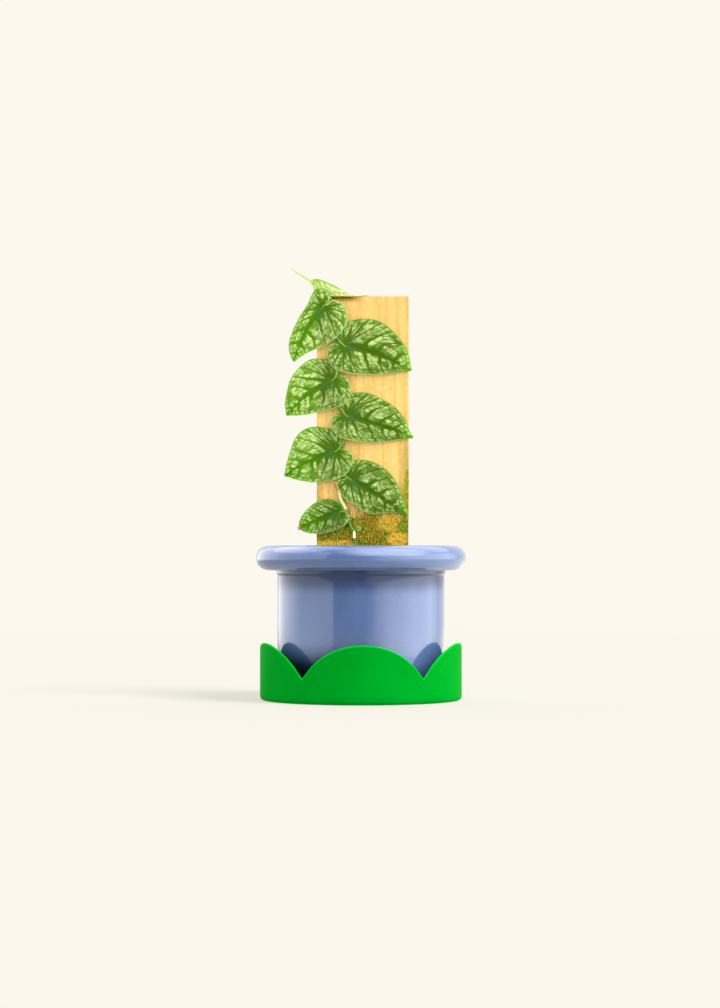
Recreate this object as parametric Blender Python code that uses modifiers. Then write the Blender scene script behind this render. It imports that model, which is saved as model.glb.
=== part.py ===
"""A climbing plant with heart-shaped leaves pressed to an upright board, in a round-rimmed pot on a tray.

Frame: +Z up, -Y is the front. The origin is on the pot's axis at the underside of the tray.
Lengths are named in millimetres below and turned into metres by MM.
"""

import math
import random
from collections import namedtuple

import bmesh
import bpy
from mathutils import Vector, noise

MM = 0.001
GAP = 0.3

TRAY_RADIUS = 97.8
TRAY_SHEET = 1.5
TRAY_CORNER = 4.0
TRAY_PEAK = 56.2
TRAY_VALLEY = 22.5
TRAY_SCALLOPS = 5
TRAY_STEPS = 20
TRAY_TURN = 0.021
VALLEY_FILLET = 1.8

POT_BODY_RADIUS = 81.0
POT_WALL = 6.4
POT_FLOOR = 8.0
POT_RECESS = 2.5
POT_DRAIN = 6.0
RIM_TUBE_CENTRE = 90.2
RIM_TUBE_HALF_WIDTH = 11.7
RIM_TUBE_HALF_HEIGHT = 12.05
POT_TOP = 149.8
POT_STEPS = 64

SOIL_TOP = 129.0
SOIL_RELIEF = 2.2

BOARD_LEFT = -42.7
BOARD_RIGHT = 46.2
BOARD_THICKNESS = 19.0
BOARD_TOP = 391.3
BOARD_EDGE_WAVE = 0.45

STEM_RADIUS = 1.6
STEM_DEPTH = -2.05
ROOTLET_RADIUS = 0.55
ROOTLETS_PER_NODE = 3
PETIOLE_RADIUS = 1.15

BLADE = 0.9
FAN_ROWS = 9
VEIN_ROWS = 12
BLADE_BANDS = (0.16, 0.58, 1.0)
UPPER_SLANT = 0.62
LOWER_SLANT = 0.95

Leaf = namedtuple("Leaf", "name joint tip upper lower bow rise dome node")

# The joint of blade and petiole and the tip are (x, z) on the board's face. An outline point is
# (along, across) from the joint: along runs to the tip, across is positive on the leaf's upper side.
LEAVES = (
    Leaf("leaf_1", (-18.8, 182.4), (-60.5, 166.0),
         ((-2.5, 2), (-2.5, 6.5), (0, 10.5), (5, 15), (12, 17.5), (19, 17.5), (27, 15.5), (35, 11.5),
          (41, 6.5)),
         ((-3.5, -2), (-4.5, -7), (-2, -11.5), (4, -14), (13, -14.5), (22, -13.5), (32, -10.5), (40, -5.5)),
         1.0, 0.4, 1.6, (-14.0, 182.0)),
    Leaf("leaf_2", (-11.1, 214.0), (45.7, 179.1),
         ((-4.5, 1), (-9, 4), (-10, 11), (-5, 18), (3, 23.5), (12, 26), (22, 26.5), (32, 24.5), (43, 19),
          (52, 12), (60, 5.5)),
         ((-4, -2.5), (-7.5, -7), (-6.5, -12.5), (-1, -16), (8, -19), (18, -18.5), (28, -19.5),
          (38, -16.5), (46, -10), (54, -4.5), (61, -1.5)),
         0.5, 1.8, 2.0, (-19.3, 219.0)),
    Leaf("leaf_3", (-23.7, 241.1), (-73.6, 217.4),
         ((-5.5, 2), (-11, 6), (-11, 13), (-6, 20), (1, 25.5), (8, 30), (16, 32), (24, 31.5), (33, 26.5),
          (42, 17.5), (50, 8)),
         ((-6, -0.5), (-11, -5.5), (-11.5, -12.5), (-6, -19.5), (1, -24), (10, -25), (21, -22),
          (32, -18.5), (42, -12.5), (50, -5.5)),
         2.5, 1.8, 2.2, (-17.6, 247.0)),
    Leaf("leaf_4", (-14.5, 275.1), (50.5, 254.2),
         ((-6, 4), (-9.5, 8), (-8.5, 14.5), (-3, 21), (5, 25.5), (13, 27.5), (22, 27), (36, 24.5),
          (49, 19), (58, 11), (64, 4)),
         ((-5, 0.5), (-9, -1), (-11.5, -7), (-9.5, -14.5), (-3, -20.5), (5, -21.5), (18, -20),
          (33, -16.5), (47, -10.5), (58, -5)),
         0.8, 1.8, 2.2, (-19.8, 282.0)),
    Leaf("leaf_5", (-26.6, 310.0), (-71.7, 276.1),
         ((-6, 2.5), (-11, 6), (-11, 13), (-7, 19), (-1, 25), (5, 29), (13, 30), (22, 29), (34, 25),
          (45, 16), (52, 9)),
         ((-6, 0), (-10, -4), (-10.5, -11), (-6, -19), (0, -24.5), (7, -25), (17, -22), (29, -16.5),
          (41, -11.5), (50, -5.5)),
         3.6, 1.8, 2.2, (-21.7, 317.0)),
    Leaf("leaf_6", (-16.4, 343.0), (48.6, 319.2),
         ((-5.5, 4), (-9.5, 9), (-9, 16.5), (-3, 24.5), (6, 30), (15, 33), (24, 34), (37, 30.5), (50, 24),
          (60, 15.5), (66, 7)),
         ((-4, 1), (-8, 0), (-12, -5), (-12, -12), (-7, -20), (0, -24.5), (8, -24), (22, -21),
          (37, -16), (51, -10), (60, -4.5)),
         2.6, 1.8, 2.4, (-24.6, 350.5)),
    Leaf("leaf_7", (-36.3, 380.9), (-64.9, 328.4),
         ((-7, -1.6), (-10.5, -2.2), (-13.5, 0.6), (-14.6, 5), (-13.6, 10.5), (-11.2, 14.6), (-6, 15.4),
          (5, 14.5), (22, 15.5), (40, 14), (50, 11), (57, 5)),
         ((-4.5, -3.4), (-8.5, -4.6), (-10.7, -9), (-10.5, -16), (-5, -23), (4, -27), (12, -27),
          (24, -24), (34, -18), (45, -9), (53, -4)),
         4.0, 1.8, 2.2, (-29.5, 388.5)),
)

BUD = Leaf("bud_leaf", (-4.4, 165.0), (0.7, 167.2),
           ((-0.5, 1.0), (0.3, 2.2), (2.2, 2.7), (4.4, 1.4)),
           ((-0.3, -1.2), (1.0, -2.0), (3.2, -1.9), (4.6, -0.9)),
           0.0, 0.0, 0.0, (-7.9, 164.2))

# The top leaf straddles the board's top edge: its midrib is the ridge and its front half faces forward.
TOP_LEAF_JOINT_X = -44.0
TOP_LEAF_TIP_X = 7.0
TOP_LEAF_RIDGE_Y = 8.0
TOP_LEAF_FRONT = ((-2.5, -0.6), (-5.8, -2), (-6.6, -5), (-5, -9), (-2.5, -13), (2, -15.5), (10, -17),
                  (20, -15.5), (30, -11), (40, -5.5))
TOP_LEAF_BACK = ((-2.5, 0.6), (-6, 3), (-7, 8), (-4, 14), (3, 17.5), (12, 18.5), (22, 16.5), (32, 11.5),
                 (42, 5.5))
# (x, height) along the ridge
TOP_LEAF_RIDGE = ((-51, 409.2), (-41, 408.8), (-36, 407.1), (-30, 404.2), (-24, 401.6), (-19, 399.0),
                  (-14, 396.3), (-9, 393.8), (0, 393.1), (8, 392.9))
# (x, height) of the front half's lower margin, which is clear of the stem under it at the left
TOP_LEAF_HEM = ((-52, 404.0), (-49, 399.5), (-46, 396.6), (-36, 396.2), (-30, 393.2), (-27, 392.0),
                (-24, 391.7), (8, 391.7))

# (x, y, z) of the stem, from its foot in the soil to the last node at the board's top
STEM_PATH = (
    (-2.0, -2.1, 98.0), (-3.2, -2.1, 118.0), (-4.3, -2.1, 138.0), (-5.0, -2.1, 150.0), (-6.4, -2.1, 157.0),
    (-6.8, -2.1, 163.0), (-9.0, -2.1, 165.8), (-11.5, -2.1, 172.0), (-14.0, -2.1, 182.0),
    (-16.5, -2.1, 188.0), (-19.8, -2.1, 197.0), (-20.4, -2.1, 208.0), (-19.3, -2.1, 219.0),
    (-19.6, -2.1, 233.0), (-17.6, -2.1, 247.0), (-18.4, -2.1, 265.0), (-19.8, -2.1, 282.0),
    (-22.4, -2.1, 300.0), (-21.7, -2.1, 317.0), (-22.8, -2.1, 334.0), (-24.6, -2.1, 350.5),
    (-26.4, -2.1, 370.0), (-29.5, -2.1, 388.5),
)
# from the last node, over the board's top edge and out under the top leaf to the thin shoot tip
SHOOT_PATH = (
    (-33.0, -1.6, 392.4), (-37.0, 1.2, 393.6), (-41.5, 4.6, 396.0), (-46.0, 7.2, 401.5),
    (-49.4, 8.0, 406.6), (-55.0, 8.2, 410.8), (-61.5, 8.4, 414.4), (-68.0, 8.6, 418.8),
)
NODE_HEIGHTS = (182.0, 219.0, 247.0, 282.0, 317.0, 350.5, 388.5)

GREEN = (0.10, 0.21, 0.04, 1.0)
SURFACES = {
    "tray_green": ((0.01, 0.42, 0.05, 1.0), 0.38, 0.0),
    "lavender_glaze": ((0.26, 0.31, 0.55, 1.0), 0.12, 0.0),
    "potting_soil": ((0.05, 0.03, 0.02, 1.0), 0.95, 0.0),
    "pale_wood": ((0.72, 0.46, 0.19, 1.0), 0.7, 0.0),
    "stem_green": ((0.22, 0.32, 0.10, 1.0), 0.5, 0.0),
    "silvered_leaf": (GREEN, 0.4, 0.0),
    "young_leaf": ((0.45, 0.62, 0.20, 1.0), 0.4, 0.0),
}


def clear_scene():
    """Removes whatever the open file holds."""
    for obj in list(bpy.data.objects):
        bpy.data.objects.remove(obj, do_unlink=True)


def new_collection(name):
    """A collection in the scene."""
    made = bpy.data.collections.new(name)
    bpy.context.scene.collection.children.link(made)
    return made


def surface(name):
    """The material of that name, made from its row in SURFACES on first use."""
    made = bpy.data.materials.get(name)
    if made is None:
        colour, roughness, metallic = SURFACES[name]
        made = bpy.data.materials.new(name)
        made.use_nodes = True
        shader = made.node_tree.nodes["Principled BSDF"]
        shader.inputs["Base Color"].default_value = colour
        shader.inputs["Roughness"].default_value = roughness
        shader.inputs["Metallic"].default_value = metallic
        made.diffuse_color = colour
    return made


def add_mesh(name, mesh, collection):
    """An object for a mesh, in that collection."""
    made = bpy.data.objects.new(name, mesh)
    collection.objects.link(made)
    return made


def mesh_of(bm, name):
    """The mesh of a bmesh, which is freed."""
    mesh = bpy.data.meshes.new(name)
    bm.to_mesh(mesh)
    bm.free()
    return mesh


def freeze(obj):
    """Makes the object's modifiers, or its curve, real in its mesh and returns the object."""
    bpy.context.view_layer.update()
    shaped = obj.evaluated_get(bpy.context.evaluated_depsgraph_get())
    mesh = bpy.data.meshes.new_from_object(shaped)
    bm = bmesh.new()
    bm.from_mesh(mesh)
    bmesh.ops.remove_doubles(bm, verts=bm.verts, dist=0.000002)
    bm.to_mesh(mesh)
    bm.free()
    if obj.type == "MESH":
        obj.modifiers.clear()
        obj.data = mesh
        return obj
    home = obj.users_collection[0]
    name = obj.name
    bpy.data.objects.remove(obj, do_unlink=True)
    return add_mesh(name, mesh, home)


def smooth_shade(obj, degrees=40.0):
    """Shades the object smooth, with edges over that angle kept sharp."""
    obj.data.shade_smooth()
    obj.data.set_sharp_from_angle(angle=math.radians(degrees))


def combine(obj, other, operation="UNION", solver="EXACT"):
    """Applies one Boolean with another object or a whole collection of objects, which is then removed."""
    step = obj.modifiers.new(operation.lower(), "BOOLEAN")
    step.operation = operation
    step.solver = solver
    if isinstance(other, bpy.types.Collection):
        step.operand_type = "COLLECTION"
        step.collection = other
        freeze(obj)
        for used in list(other.objects):
            bpy.data.objects.remove(used, do_unlink=True)
        bpy.data.collections.remove(other)
    else:
        step.object = other
        freeze(obj)
        bpy.data.objects.remove(other, do_unlink=True)


def turned(name, profile, collection, steps):
    """A profile of (radius, height) points turned round the Z axis with a Screw modifier."""
    bm = bmesh.new()
    verts = [bm.verts.new((r * MM, 0.0, z * MM)) for r, z in profile]
    for first, second in zip(verts, verts[1:]):
        bm.edges.new((first, second))
    if profile[0][0] > 0.0:
        bm.edges.new((verts[-1], verts[0]))
    obj = add_mesh(name, mesh_of(bm, name), collection)
    screw = obj.modifiers.new("screw", "SCREW")
    screw.steps = steps
    screw.render_steps = steps
    screw.use_merge_vertices = True
    screw.merge_threshold = 0.00001
    return freeze(obj)


def smooth_curve(points, count):
    """Points evenly spaced along a centripetal Catmull-Rom curve through the given ones."""
    points = [Vector(p) for p in points]
    ends = [points[0] * 2 - points[1]] + points + [points[-1] * 2 - points[-2]]
    fine = []
    for p0, p1, p2, p3 in zip(ends, ends[1:], ends[2:], ends[3:]):
        t1 = math.sqrt((p1 - p0).length)
        t2 = t1 + math.sqrt((p2 - p1).length)
        t3 = t2 + math.sqrt((p3 - p2).length)
        for k in range(12):
            t = t1 + (t2 - t1) * k / 12
            a1 = p0 * ((t1 - t) / t1) + p1 * (t / t1)
            a2 = p1 * ((t2 - t) / (t2 - t1)) + p2 * ((t - t1) / (t2 - t1))
            a3 = p2 * ((t3 - t) / (t3 - t2)) + p3 * ((t - t2) / (t3 - t2))
            b1 = a1 * ((t2 - t) / t2) + a2 * (t / t2)
            b2 = a2 * ((t3 - t) / (t3 - t1)) + a3 * ((t - t1) / (t3 - t1))
            fine.append(b1 * ((t2 - t) / (t2 - t1)) + b2 * ((t - t1) / (t2 - t1)))
    fine.append(points[-1])
    run = [0.0]
    for first, second in zip(fine, fine[1:]):
        run.append(run[-1] + (second - first).length)
    spaced = []
    at = 0
    for k in range(count + 1):
        want = run[-1] * k / count
        while at < len(run) - 2 and run[at + 1] < want:
            at += 1
        share = (want - run[at]) / max(run[at + 1] - run[at], 1e-9)
        spaced.append(fine[at].lerp(fine[at + 1], min(max(share, 0.0), 1.0)))
    return spaced


def along(table, x):
    """The height at x on the line through a table of (x, height)."""
    if x <= table[0][0]:
        return table[0][1]
    for (x0, h0), (x1, h1) in zip(table, table[1:]):
        if x <= x1:
            t = (x - x0) / (x1 - x0)
            return h0 + (h1 - h0) * t
    return table[-1][1]


def tube(name, points, radii, collection, resolution=2):
    """A round rod through points in millimetres, as a curve with a bevel and filled caps, made a mesh."""
    data = bpy.data.curves.new(name, "CURVE")
    data.dimensions = "3D"
    data.bevel_depth = MM
    data.bevel_resolution = resolution
    data.use_fill_caps = True
    line = data.splines.new("POLY")
    line.points.add(len(points) - 1)
    for spot, point, radius in zip(line.points, points, radii):
        spot.co = (point[0] * MM, point[1] * MM, point[2] * MM, 1.0)
        spot.radius = radius
    obj = bpy.data.objects.new(name, data)
    collection.objects.link(obj)
    return freeze(obj)


def scallop_height(angle):
    """Height of the tray's wall at an angle from the front: circular arcs that meet in filleted valleys."""
    half = math.pi / TRAY_SCALLOPS
    off = (angle + half) % (2 * half) - half
    half_chord = TRAY_RADIUS * half
    rise = TRAY_PEAK - TRAY_VALLEY
    radius = (half_chord ** 2 + rise ** 2) / (2 * rise)
    arc = math.sqrt(radius ** 2 - (TRAY_RADIUS * off) ** 2) - (radius - rise)
    to_valley = half_chord - abs(TRAY_RADIUS * off)
    return TRAY_VALLEY + arc + VALLEY_FILLET * math.exp(-to_valley / VALLEY_FILLET)


def build_tray(collection):
    """The sheet tray: an open surface of floor, corner and scalloped wall, thickened inwards."""
    angles = []
    half = math.pi / TRAY_SCALLOPS
    for scallop in range(TRAY_SCALLOPS):
        for k in range(TRAY_STEPS):
            t = 2.0 * k / TRAY_STEPS - 1.0
            squeezed = math.copysign(1.0 - (1.0 - abs(t)) ** 1.35, t)
            angles.append(2 * half * scallop + half * squeezed)
    corner = [math.pi / 2 * k / 3 for k in range(4)]
    inner = TRAY_RADIUS - TRAY_CORNER
    foot = [(inner + TRAY_CORNER * math.sin(c), TRAY_CORNER * (1 - math.cos(c))) for c in corner]
    shares = (0.22, 0.5, 0.76, 1.0)
    bm = bmesh.new()
    rings = []
    for radius, height in foot:
        rings.append([(radius, height) for _ in angles])
    for share in shares:
        tall = [TRAY_CORNER + (scallop_height(a) - TRAY_CORNER) * share for a in angles]
        rings.append([(TRAY_RADIUS, height) for height in tall])
    ways = [(math.sin(a + TRAY_TURN), -math.cos(a + TRAY_TURN)) for a in angles]
    rows = []
    for ring in rings:
        spots = [Vector((r * x, r * y, z)) * MM for (x, y), (r, z) in zip(ways, ring)]
        rows.append([bm.verts.new(spot) for spot in spots])
    count = len(angles)
    for low, high in zip(rows, rows[1:]):
        for k in range(count):
            after = (k + 1) % count
            bm.faces.new((low[k], low[after], high[after], high[k]))
    centre = bm.verts.new((0.0, 0.0, 0.0))
    for k in range(count):
        bm.faces.new((centre, rows[0][(k + 1) % count], rows[0][k]))
    bmesh.ops.recalc_face_normals(bm, faces=bm.faces)
    bmesh.ops.triangulate(bm, faces=bm.faces)
    tray = add_mesh("scalloped_tray", mesh_of(bm, "scalloped_tray"), collection)
    sheet = tray.modifiers.new("sheet", "SOLIDIFY")
    sheet.thickness = TRAY_SHEET * MM
    sheet.offset = -1.0
    sheet.use_even_offset = True
    freeze(tray)
    smooth_shade(tray)
    tray.data.materials.append(surface("tray_green"))


def pot_profile():
    """The pot's section, down the outside from the rim's top and back up the inside."""
    foot = TRAY_SHEET + GAP
    floor = foot + POT_FLOOR
    inner = POT_BODY_RADIUS - POT_WALL
    centre = POT_TOP - RIM_TUBE_HALF_HEIGHT
    points = []
    for k in range(13):
        turn = math.radians(90 - 225 * k / 12)
        points.append((RIM_TUBE_CENTRE + RIM_TUBE_HALF_WIDTH * math.cos(turn),
                       centre + RIM_TUBE_HALF_HEIGHT * math.sin(turn)))
    points += [(POT_BODY_RADIUS, 127.6), (POT_BODY_RADIUS, foot + 4.0), (POT_BODY_RADIUS - 1.2, foot + 1.2),
               (POT_BODY_RADIUS - 4.0, foot), (72.0, foot), (70.0, foot + POT_RECESS),
               (POT_DRAIN, foot + POT_RECESS), (POT_DRAIN, floor), (inner - 6.0, floor),
               (inner - 1.8, floor + 1.8), (inner, floor + 6.0), (inner, 126.0), (inner + 1.2, 134.0)]
    for degrees in (165, 140, 115):
        turn = math.radians(degrees)
        points.append((RIM_TUBE_CENTRE + RIM_TUBE_HALF_WIDTH * math.cos(turn),
                       centre + RIM_TUBE_HALF_HEIGHT * math.sin(turn)))
    return points


def build_pot(collection):
    """The pot, turned in one piece with its drain hole."""
    pot = turned("pot", pot_profile(), collection, POT_STEPS)
    smooth_shade(pot)
    pot.data.materials.append(surface("lavender_glaze"))


def build_soil(collection, cutters):
    """The soil: it fills the pot, its top is uneven, and the board and the stem stand in plain holes."""
    floor = TRAY_SHEET + GAP + POT_FLOOR + GAP
    radius = POT_BODY_RADIUS - POT_WALL - GAP
    profile = [(0.0, SOIL_TOP + 1.5)]
    for k in range(1, 8):
        share = k / 8
        profile.append((radius * share, SOIL_TOP + 1.5 * (1 - share ** 2)))
    profile += [(radius, 125.0), (radius, floor + 6.2), (radius - 1.9, floor + 1.9), (radius - 6.2, floor),
                (0.0, floor)]
    soil = turned("soil", profile, collection, POT_STEPS // 2)
    for vert in soil.data.vertices:
        if vert.co.z > (SOIL_TOP - 1.0) * MM:
            lump = noise.noise(vert.co * 70.0) + 0.5 * noise.noise(vert.co * 190.0)
            vert.co.z += SOIL_RELIEF * lump * MM
    soil_cut = box("board_slot", (BOARD_LEFT - GAP - BOARD_EDGE_WAVE, -GAP, 0.0),
                   (BOARD_RIGHT + GAP + BOARD_EDGE_WAVE, BOARD_THICKNESS + GAP, 200.0), cutters)
    combine(soil, soil_cut, "DIFFERENCE")
    path = [(x, y, z) for x, y, z in STEM_PATH[:5]]
    path[0] = (path[0][0], path[0][1], path[0][2] - GAP)
    points = smooth_curve(path, 12)
    reach = STEM_RADIUS * 1.12 + GAP
    combine(soil, tube("stem_hole", points, [reach] * len(points), cutters), "DIFFERENCE")
    soil.data.materials.append(surface("potting_soil"))


def box(name, low, high, collection):
    """A box between two corners in millimetres."""
    bm = bmesh.new()
    bmesh.ops.create_cube(bm, size=1.0)
    for vert in bm.verts:
        vert.co = Vector([(lo + (hi - lo) * (c + 0.5)) * MM for lo, hi, c in zip(low, high, vert.co)])
    obj = add_mesh(name, mesh_of(bm, name), collection)
    obj.hide_render = True
    obj.display_type = "WIRE"
    return obj


def build_board(collection):
    """The sawn board: a box cut across into lengths whose long edges stray a little."""
    low = TRAY_SHEET + 2 * GAP + POT_FLOOR
    board = box("board", (BOARD_LEFT, 0.0, low), (BOARD_RIGHT, BOARD_THICKNESS, BOARD_TOP), collection)
    board.hide_render = False
    board.display_type = "TEXTURED"
    bm = bmesh.new()
    bm.from_mesh(board.data)
    lengths = 22
    for k in range(1, lengths):
        height = (low + (BOARD_TOP - low) * k / lengths) * MM
        everything = bm.verts[:] + bm.edges[:] + bm.faces[:]
        bmesh.ops.bisect_plane(bm, geom=everything, plane_co=(0, 0, height), plane_no=(0, 0, 1))
    for vert in bm.verts:
        side = math.copysign(1.0, vert.co.x)
        stray = noise.noise(Vector((side * 3.0, 0.3, vert.co.z * 22.0)))
        vert.co.x += BOARD_EDGE_WAVE * stray * MM
    bm.to_mesh(board.data)
    bm.free()
    arris = board.modifiers.new("arris", "BEVEL")
    arris.width = 0.5 * MM
    arris.segments = 1
    arris.limit_method = "ANGLE"
    arris.angle_limit = math.radians(60)
    freeze(board)
    board.data.materials.append(surface("pale_wood"))


def stem_x(z):
    """Where the stem runs at a height."""
    for (x0, _, z0), (x1, _, z1) in zip(STEM_PATH, STEM_PATH[1:]):
        if z <= z1:
            return x0 + (x1 - x0) * max(0.0, (z - z0) / (z1 - z0))
    return STEM_PATH[-1][0]


def build_stem(collection, cutters):
    """The stem with swollen nodes, its thin shoot tip and the rootlets at each node behind the leaves."""
    points = smooth_curve(STEM_PATH + SHOOT_PATH, 96)
    radii = []
    for index, point in enumerate(points):
        swell = sum(math.exp(-((point.z - h) / 2.6) ** 2) for h in NODE_HEIGHTS)
        radius = STEM_RADIUS * (0.92 + 0.12 * min(swell, 1.0))
        if point.z > NODE_HEIGHTS[-1]:
            left = (len(points) - 1 - index) / 14.0
            radius = min(radius, 0.42 + 0.75 * left ** 0.8)
        radii.append(radius)
    stem = tube("stem", points, radii, collection)
    rootlets = bpy.data.collections.new("rootlets")
    bpy.context.scene.collection.children.link(rootlets)
    draw = random.Random(11)
    for height in NODE_HEIGHTS[1:-1]:
        for k in range(ROOTLETS_PER_NODE):
            start_z = height - 5.5 - 3.2 * k
            side = 1 if k % 2 else -1
            reach = draw.uniform(4.0, 6.5)
            drop = draw.uniform(-2.0, 2.0)
            x = stem_x(start_z)
            level = -GAP - ROOTLET_RADIUS - 0.1
            route = [(x, -1.9, start_z), (x + side * 2.6, level - 0.3, start_z + 0.2 * drop),
                     (x + side * reach * 0.6, level, start_z + 0.5 * drop),
                     (x + side * reach, level, start_z + drop)]
            spots = smooth_curve(route, 6)
            sizes = [ROOTLET_RADIUS * (1.0 - 0.35 * n / 6) for n in range(7)]
            tube("rootlet_%d_%d" % (height, k), spots, sizes, rootlets, 0)
    combine(stem, rootlets)
    smooth_shade(stem, 60)
    stem.data.materials.append(surface("stem_green"))


def leaf_axes(leaf):
    """The joint, the way to the tip and the way of the leaf's upper side, on the board's face."""
    joint = Vector(leaf.joint)
    ahead = (Vector(leaf.tip) - joint).normalized()
    across = Vector((-ahead.y, ahead.x))
    if across.y < 0:
        across = -across
    return joint, ahead, across


def on_board(leaf, flat, w):
    """The back of a blade at a flat point (along, across): clear of the stem, domed, margins turned back."""
    joint, ahead, across = leaf_axes(leaf)
    spot = joint + ahead * flat.x + across * flat.y
    length = (Vector(leaf.tip) - joint).length
    over_stem = math.exp(-((spot.x - stem_x(spot.y)) / 15.0) ** 2)
    shingle = -leaf.rise * max(-1.0, min(1.0, flat.y / 20.0)) * (0.5 + 0.5 * over_stem)
    reach = max(0.0, min(1.0, flat.x / length))
    swell = min(1.0, reach / 0.3)
    fullness = 0.3 + 0.7 * swell * swell * (3 - 2 * swell)
    dome = leaf.dome * (1.0 - w ** 2.4) * fullness * (1.0 - 0.7 * reach ** 2)
    groove = -0.5 * math.exp(-(w / 0.1) ** 2)
    wave = 0.35 * w ** 3 * math.sin(flat.x * 0.42 + leaf.joint[1])
    out = 2.2 + 4.1 * over_stem + shingle + dome + groove + wave
    return Vector((spot.x, -out, spot.y))


def over_top(leaf, flat, w):
    """The underside of the top leaf's blade: its front half falls to the board's edge."""
    share = (TOP_LEAF_TIP_X - TOP_LEAF_JOINT_X) / leaf.tip[0]
    x = TOP_LEAF_JOINT_X + flat.x * share
    ridge = along(TOP_LEAF_RIDGE, x) - BLADE
    if flat.y < 0:
        hem = along(TOP_LEAF_HEM, x)
        half = 15.5
        t = min(1.0, -flat.y / half)
        fall = (ridge - hem) * t
        run = half * t * 0.5
        bulge = 1.2 * math.sin(math.pi * t) * min(1.0, (ridge - hem) / 6.0)
        return Vector((x, TOP_LEAF_RIDGE_Y - run - bulge * 0.7, ridge - fall + bulge * 0.7))
    t = flat.y / 18.5
    fall = (ridge - 391.9) * (0.25 * t + 0.3 * t * t)
    return Vector((x, TOP_LEAF_RIDGE_Y + 17.0 * t, ridge - fall + 0.6 * math.sin(math.pi * min(1.0, t))))


def vein_rows(outline, length, slant):
    """Pairs of (midrib point, margin point): a fan from the joint round the lobe, then slanting veins."""
    fine = 240
    margin = smooth_curve([(0.0, 0.0)] + list(outline) + [(length, 0.0)], fine)
    starts = []
    for spot in margin:
        start = max(0.0, (spot.x - slant * abs(spot.y)) / length)
        starts.append(max(start, starts[-1] if starts else 0.0))
    starts[-1] = 1.0
    lobe = max(k for k, start in enumerate(starts) if start <= 0.0)
    pairs = [(0.0, margin[round(lobe * k / FAN_ROWS)]) for k in range(1, FAN_ROWS + 1)]
    at = lobe
    for k in range(1, VEIN_ROWS):
        want = k / VEIN_ROWS
        while starts[at + 1] < want:
            at += 1
        share = (want - starts[at]) / max(starts[at + 1] - starts[at], 1e-9)
        pairs.append((want, margin[at].lerp(margin[at + 1], share)))
    return pairs


def midrib(leaf, length, share):
    """The flat point at a share of the way along the midrib."""
    return Vector((length * share, leaf.bow * math.sin(math.pi * share)))


def blade_surface(leaf, place, name):
    """The open surface of a blade: rows of points from the midrib out to both margins."""
    length = (Vector(leaf.tip) - Vector(leaf.joint)).length
    bm = bmesh.new()

    def vert(flat, w):
        return bm.verts.new(place(leaf, flat, w) * MM)

    ribs = {0.0: vert(midrib(leaf, length, 0.0), 0.0)}
    tip = vert(midrib(leaf, length, 1.0), 0.0)
    for outline, slant in ((leaf.upper, UPPER_SLANT), (leaf.lower, LOWER_SLANT)):
        rows = [[ribs[0.0]] * (len(BLADE_BANDS) + 1)]
        for share, edge in vein_rows(outline, length, slant):
            rib = midrib(leaf, length, share)
            if share not in ribs:
                ribs[share] = vert(rib, 0.0)
            rows.append([ribs[share]] + [vert(rib.lerp(edge, w), w) for w in BLADE_BANDS])
        rows.append([tip] * (len(BLADE_BANDS) + 1))
        for near, far in zip(rows, rows[1:]):
            for k in range(len(BLADE_BANDS)):
                ring = []
                for corner in (near[k], near[k + 1], far[k + 1], far[k]):
                    if corner not in ring:
                        ring.append(corner)
                if len(ring) > 2:
                    bm.faces.new(ring)
    bmesh.ops.recalc_face_normals(bm, faces=bm.faces)
    bmesh.ops.triangulate(bm, faces=bm.faces)
    return mesh_of(bm, name)


def thicken(blade, outward):
    """Gives a blade its thickness on the side that outward names."""
    facing = sum((poly.normal * poly.area for poly in blade.data.polygons), Vector())
    step = blade.modifiers.new("thickness", "SOLIDIFY")
    step.thickness = BLADE * MM
    step.offset = 1.0 if facing.dot(outward) > 0 else -1.0
    step.use_even_offset = False
    freeze(blade)


def petiole(leaf, place, radius, cutters):
    """A short stalk that leaves the stem squarely and runs into the back of the blade at its joint."""
    _, ahead, _ = leaf_axes(leaf)
    x, z = leaf.node
    rising = Vector((stem_x(z + 2.0) - stem_x(z - 2.0), 0.0, 4.0)).normalized()
    side = math.copysign(1.0, leaf.joint[0] - x)
    away = Vector((rising.z, 0.0, -rising.x)) * side
    start = Vector((x, STEM_DEPTH, z)) + away * (STEM_RADIUS * 1.04 + 2 * GAP)
    seat = place(leaf, Vector((1.2 * radius, 0.0)), 0.0)
    inner = place(leaf, Vector((3.0 * radius, 0.0)), 0.0)
    route = [start, start + away * 0.9, seat + Vector((0.0, 0.5, 0.0)), inner]
    sizes = [radius * (1.0 - 0.35 * k / 8) for k in range(9)]
    return tube(leaf.name + "_petiole", smooth_curve(route, 8), sizes, cutters, 1)


def build_leaf(leaf, place, radius, finish, collection, cutters):
    """A leaf that lies against the board, with its petiole from the stem's node."""
    blade = add_mesh(leaf.name, blade_surface(leaf, place, leaf.name), collection)
    thicken(blade, Vector((0, -1, 0)))
    combine(blade, petiole(leaf, place, radius, cutters))
    smooth_shade(blade)
    blade.data.materials.append(surface(finish))


def build_top_leaf(collection, cutters):
    """The pale young leaf over the board's top edge."""
    leaf = Leaf("leaf_8", (0.0, 0.0), (51.0, 0.0), TOP_LEAF_BACK, TOP_LEAF_FRONT, 0.0, 0.0, 0.0, None)
    blade = add_mesh(leaf.name, blade_surface(leaf, over_top, leaf.name), collection)
    thicken(blade, Vector((0, 0, 1)))
    top = over_top(leaf, Vector((2.0, 0.0)), 0.0)
    route = [(-43.2, 6.6, 400.9), (-42.6, 7.2, 403.4), (top.x, top.y, top.z + 0.4)]
    points = smooth_curve(route, 5)
    combine(blade, tube("leaf_8_petiole", points, [0.9] * 6, cutters, 1))
    smooth_shade(blade)
    blade.data.materials.append(surface("young_leaf"))


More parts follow.
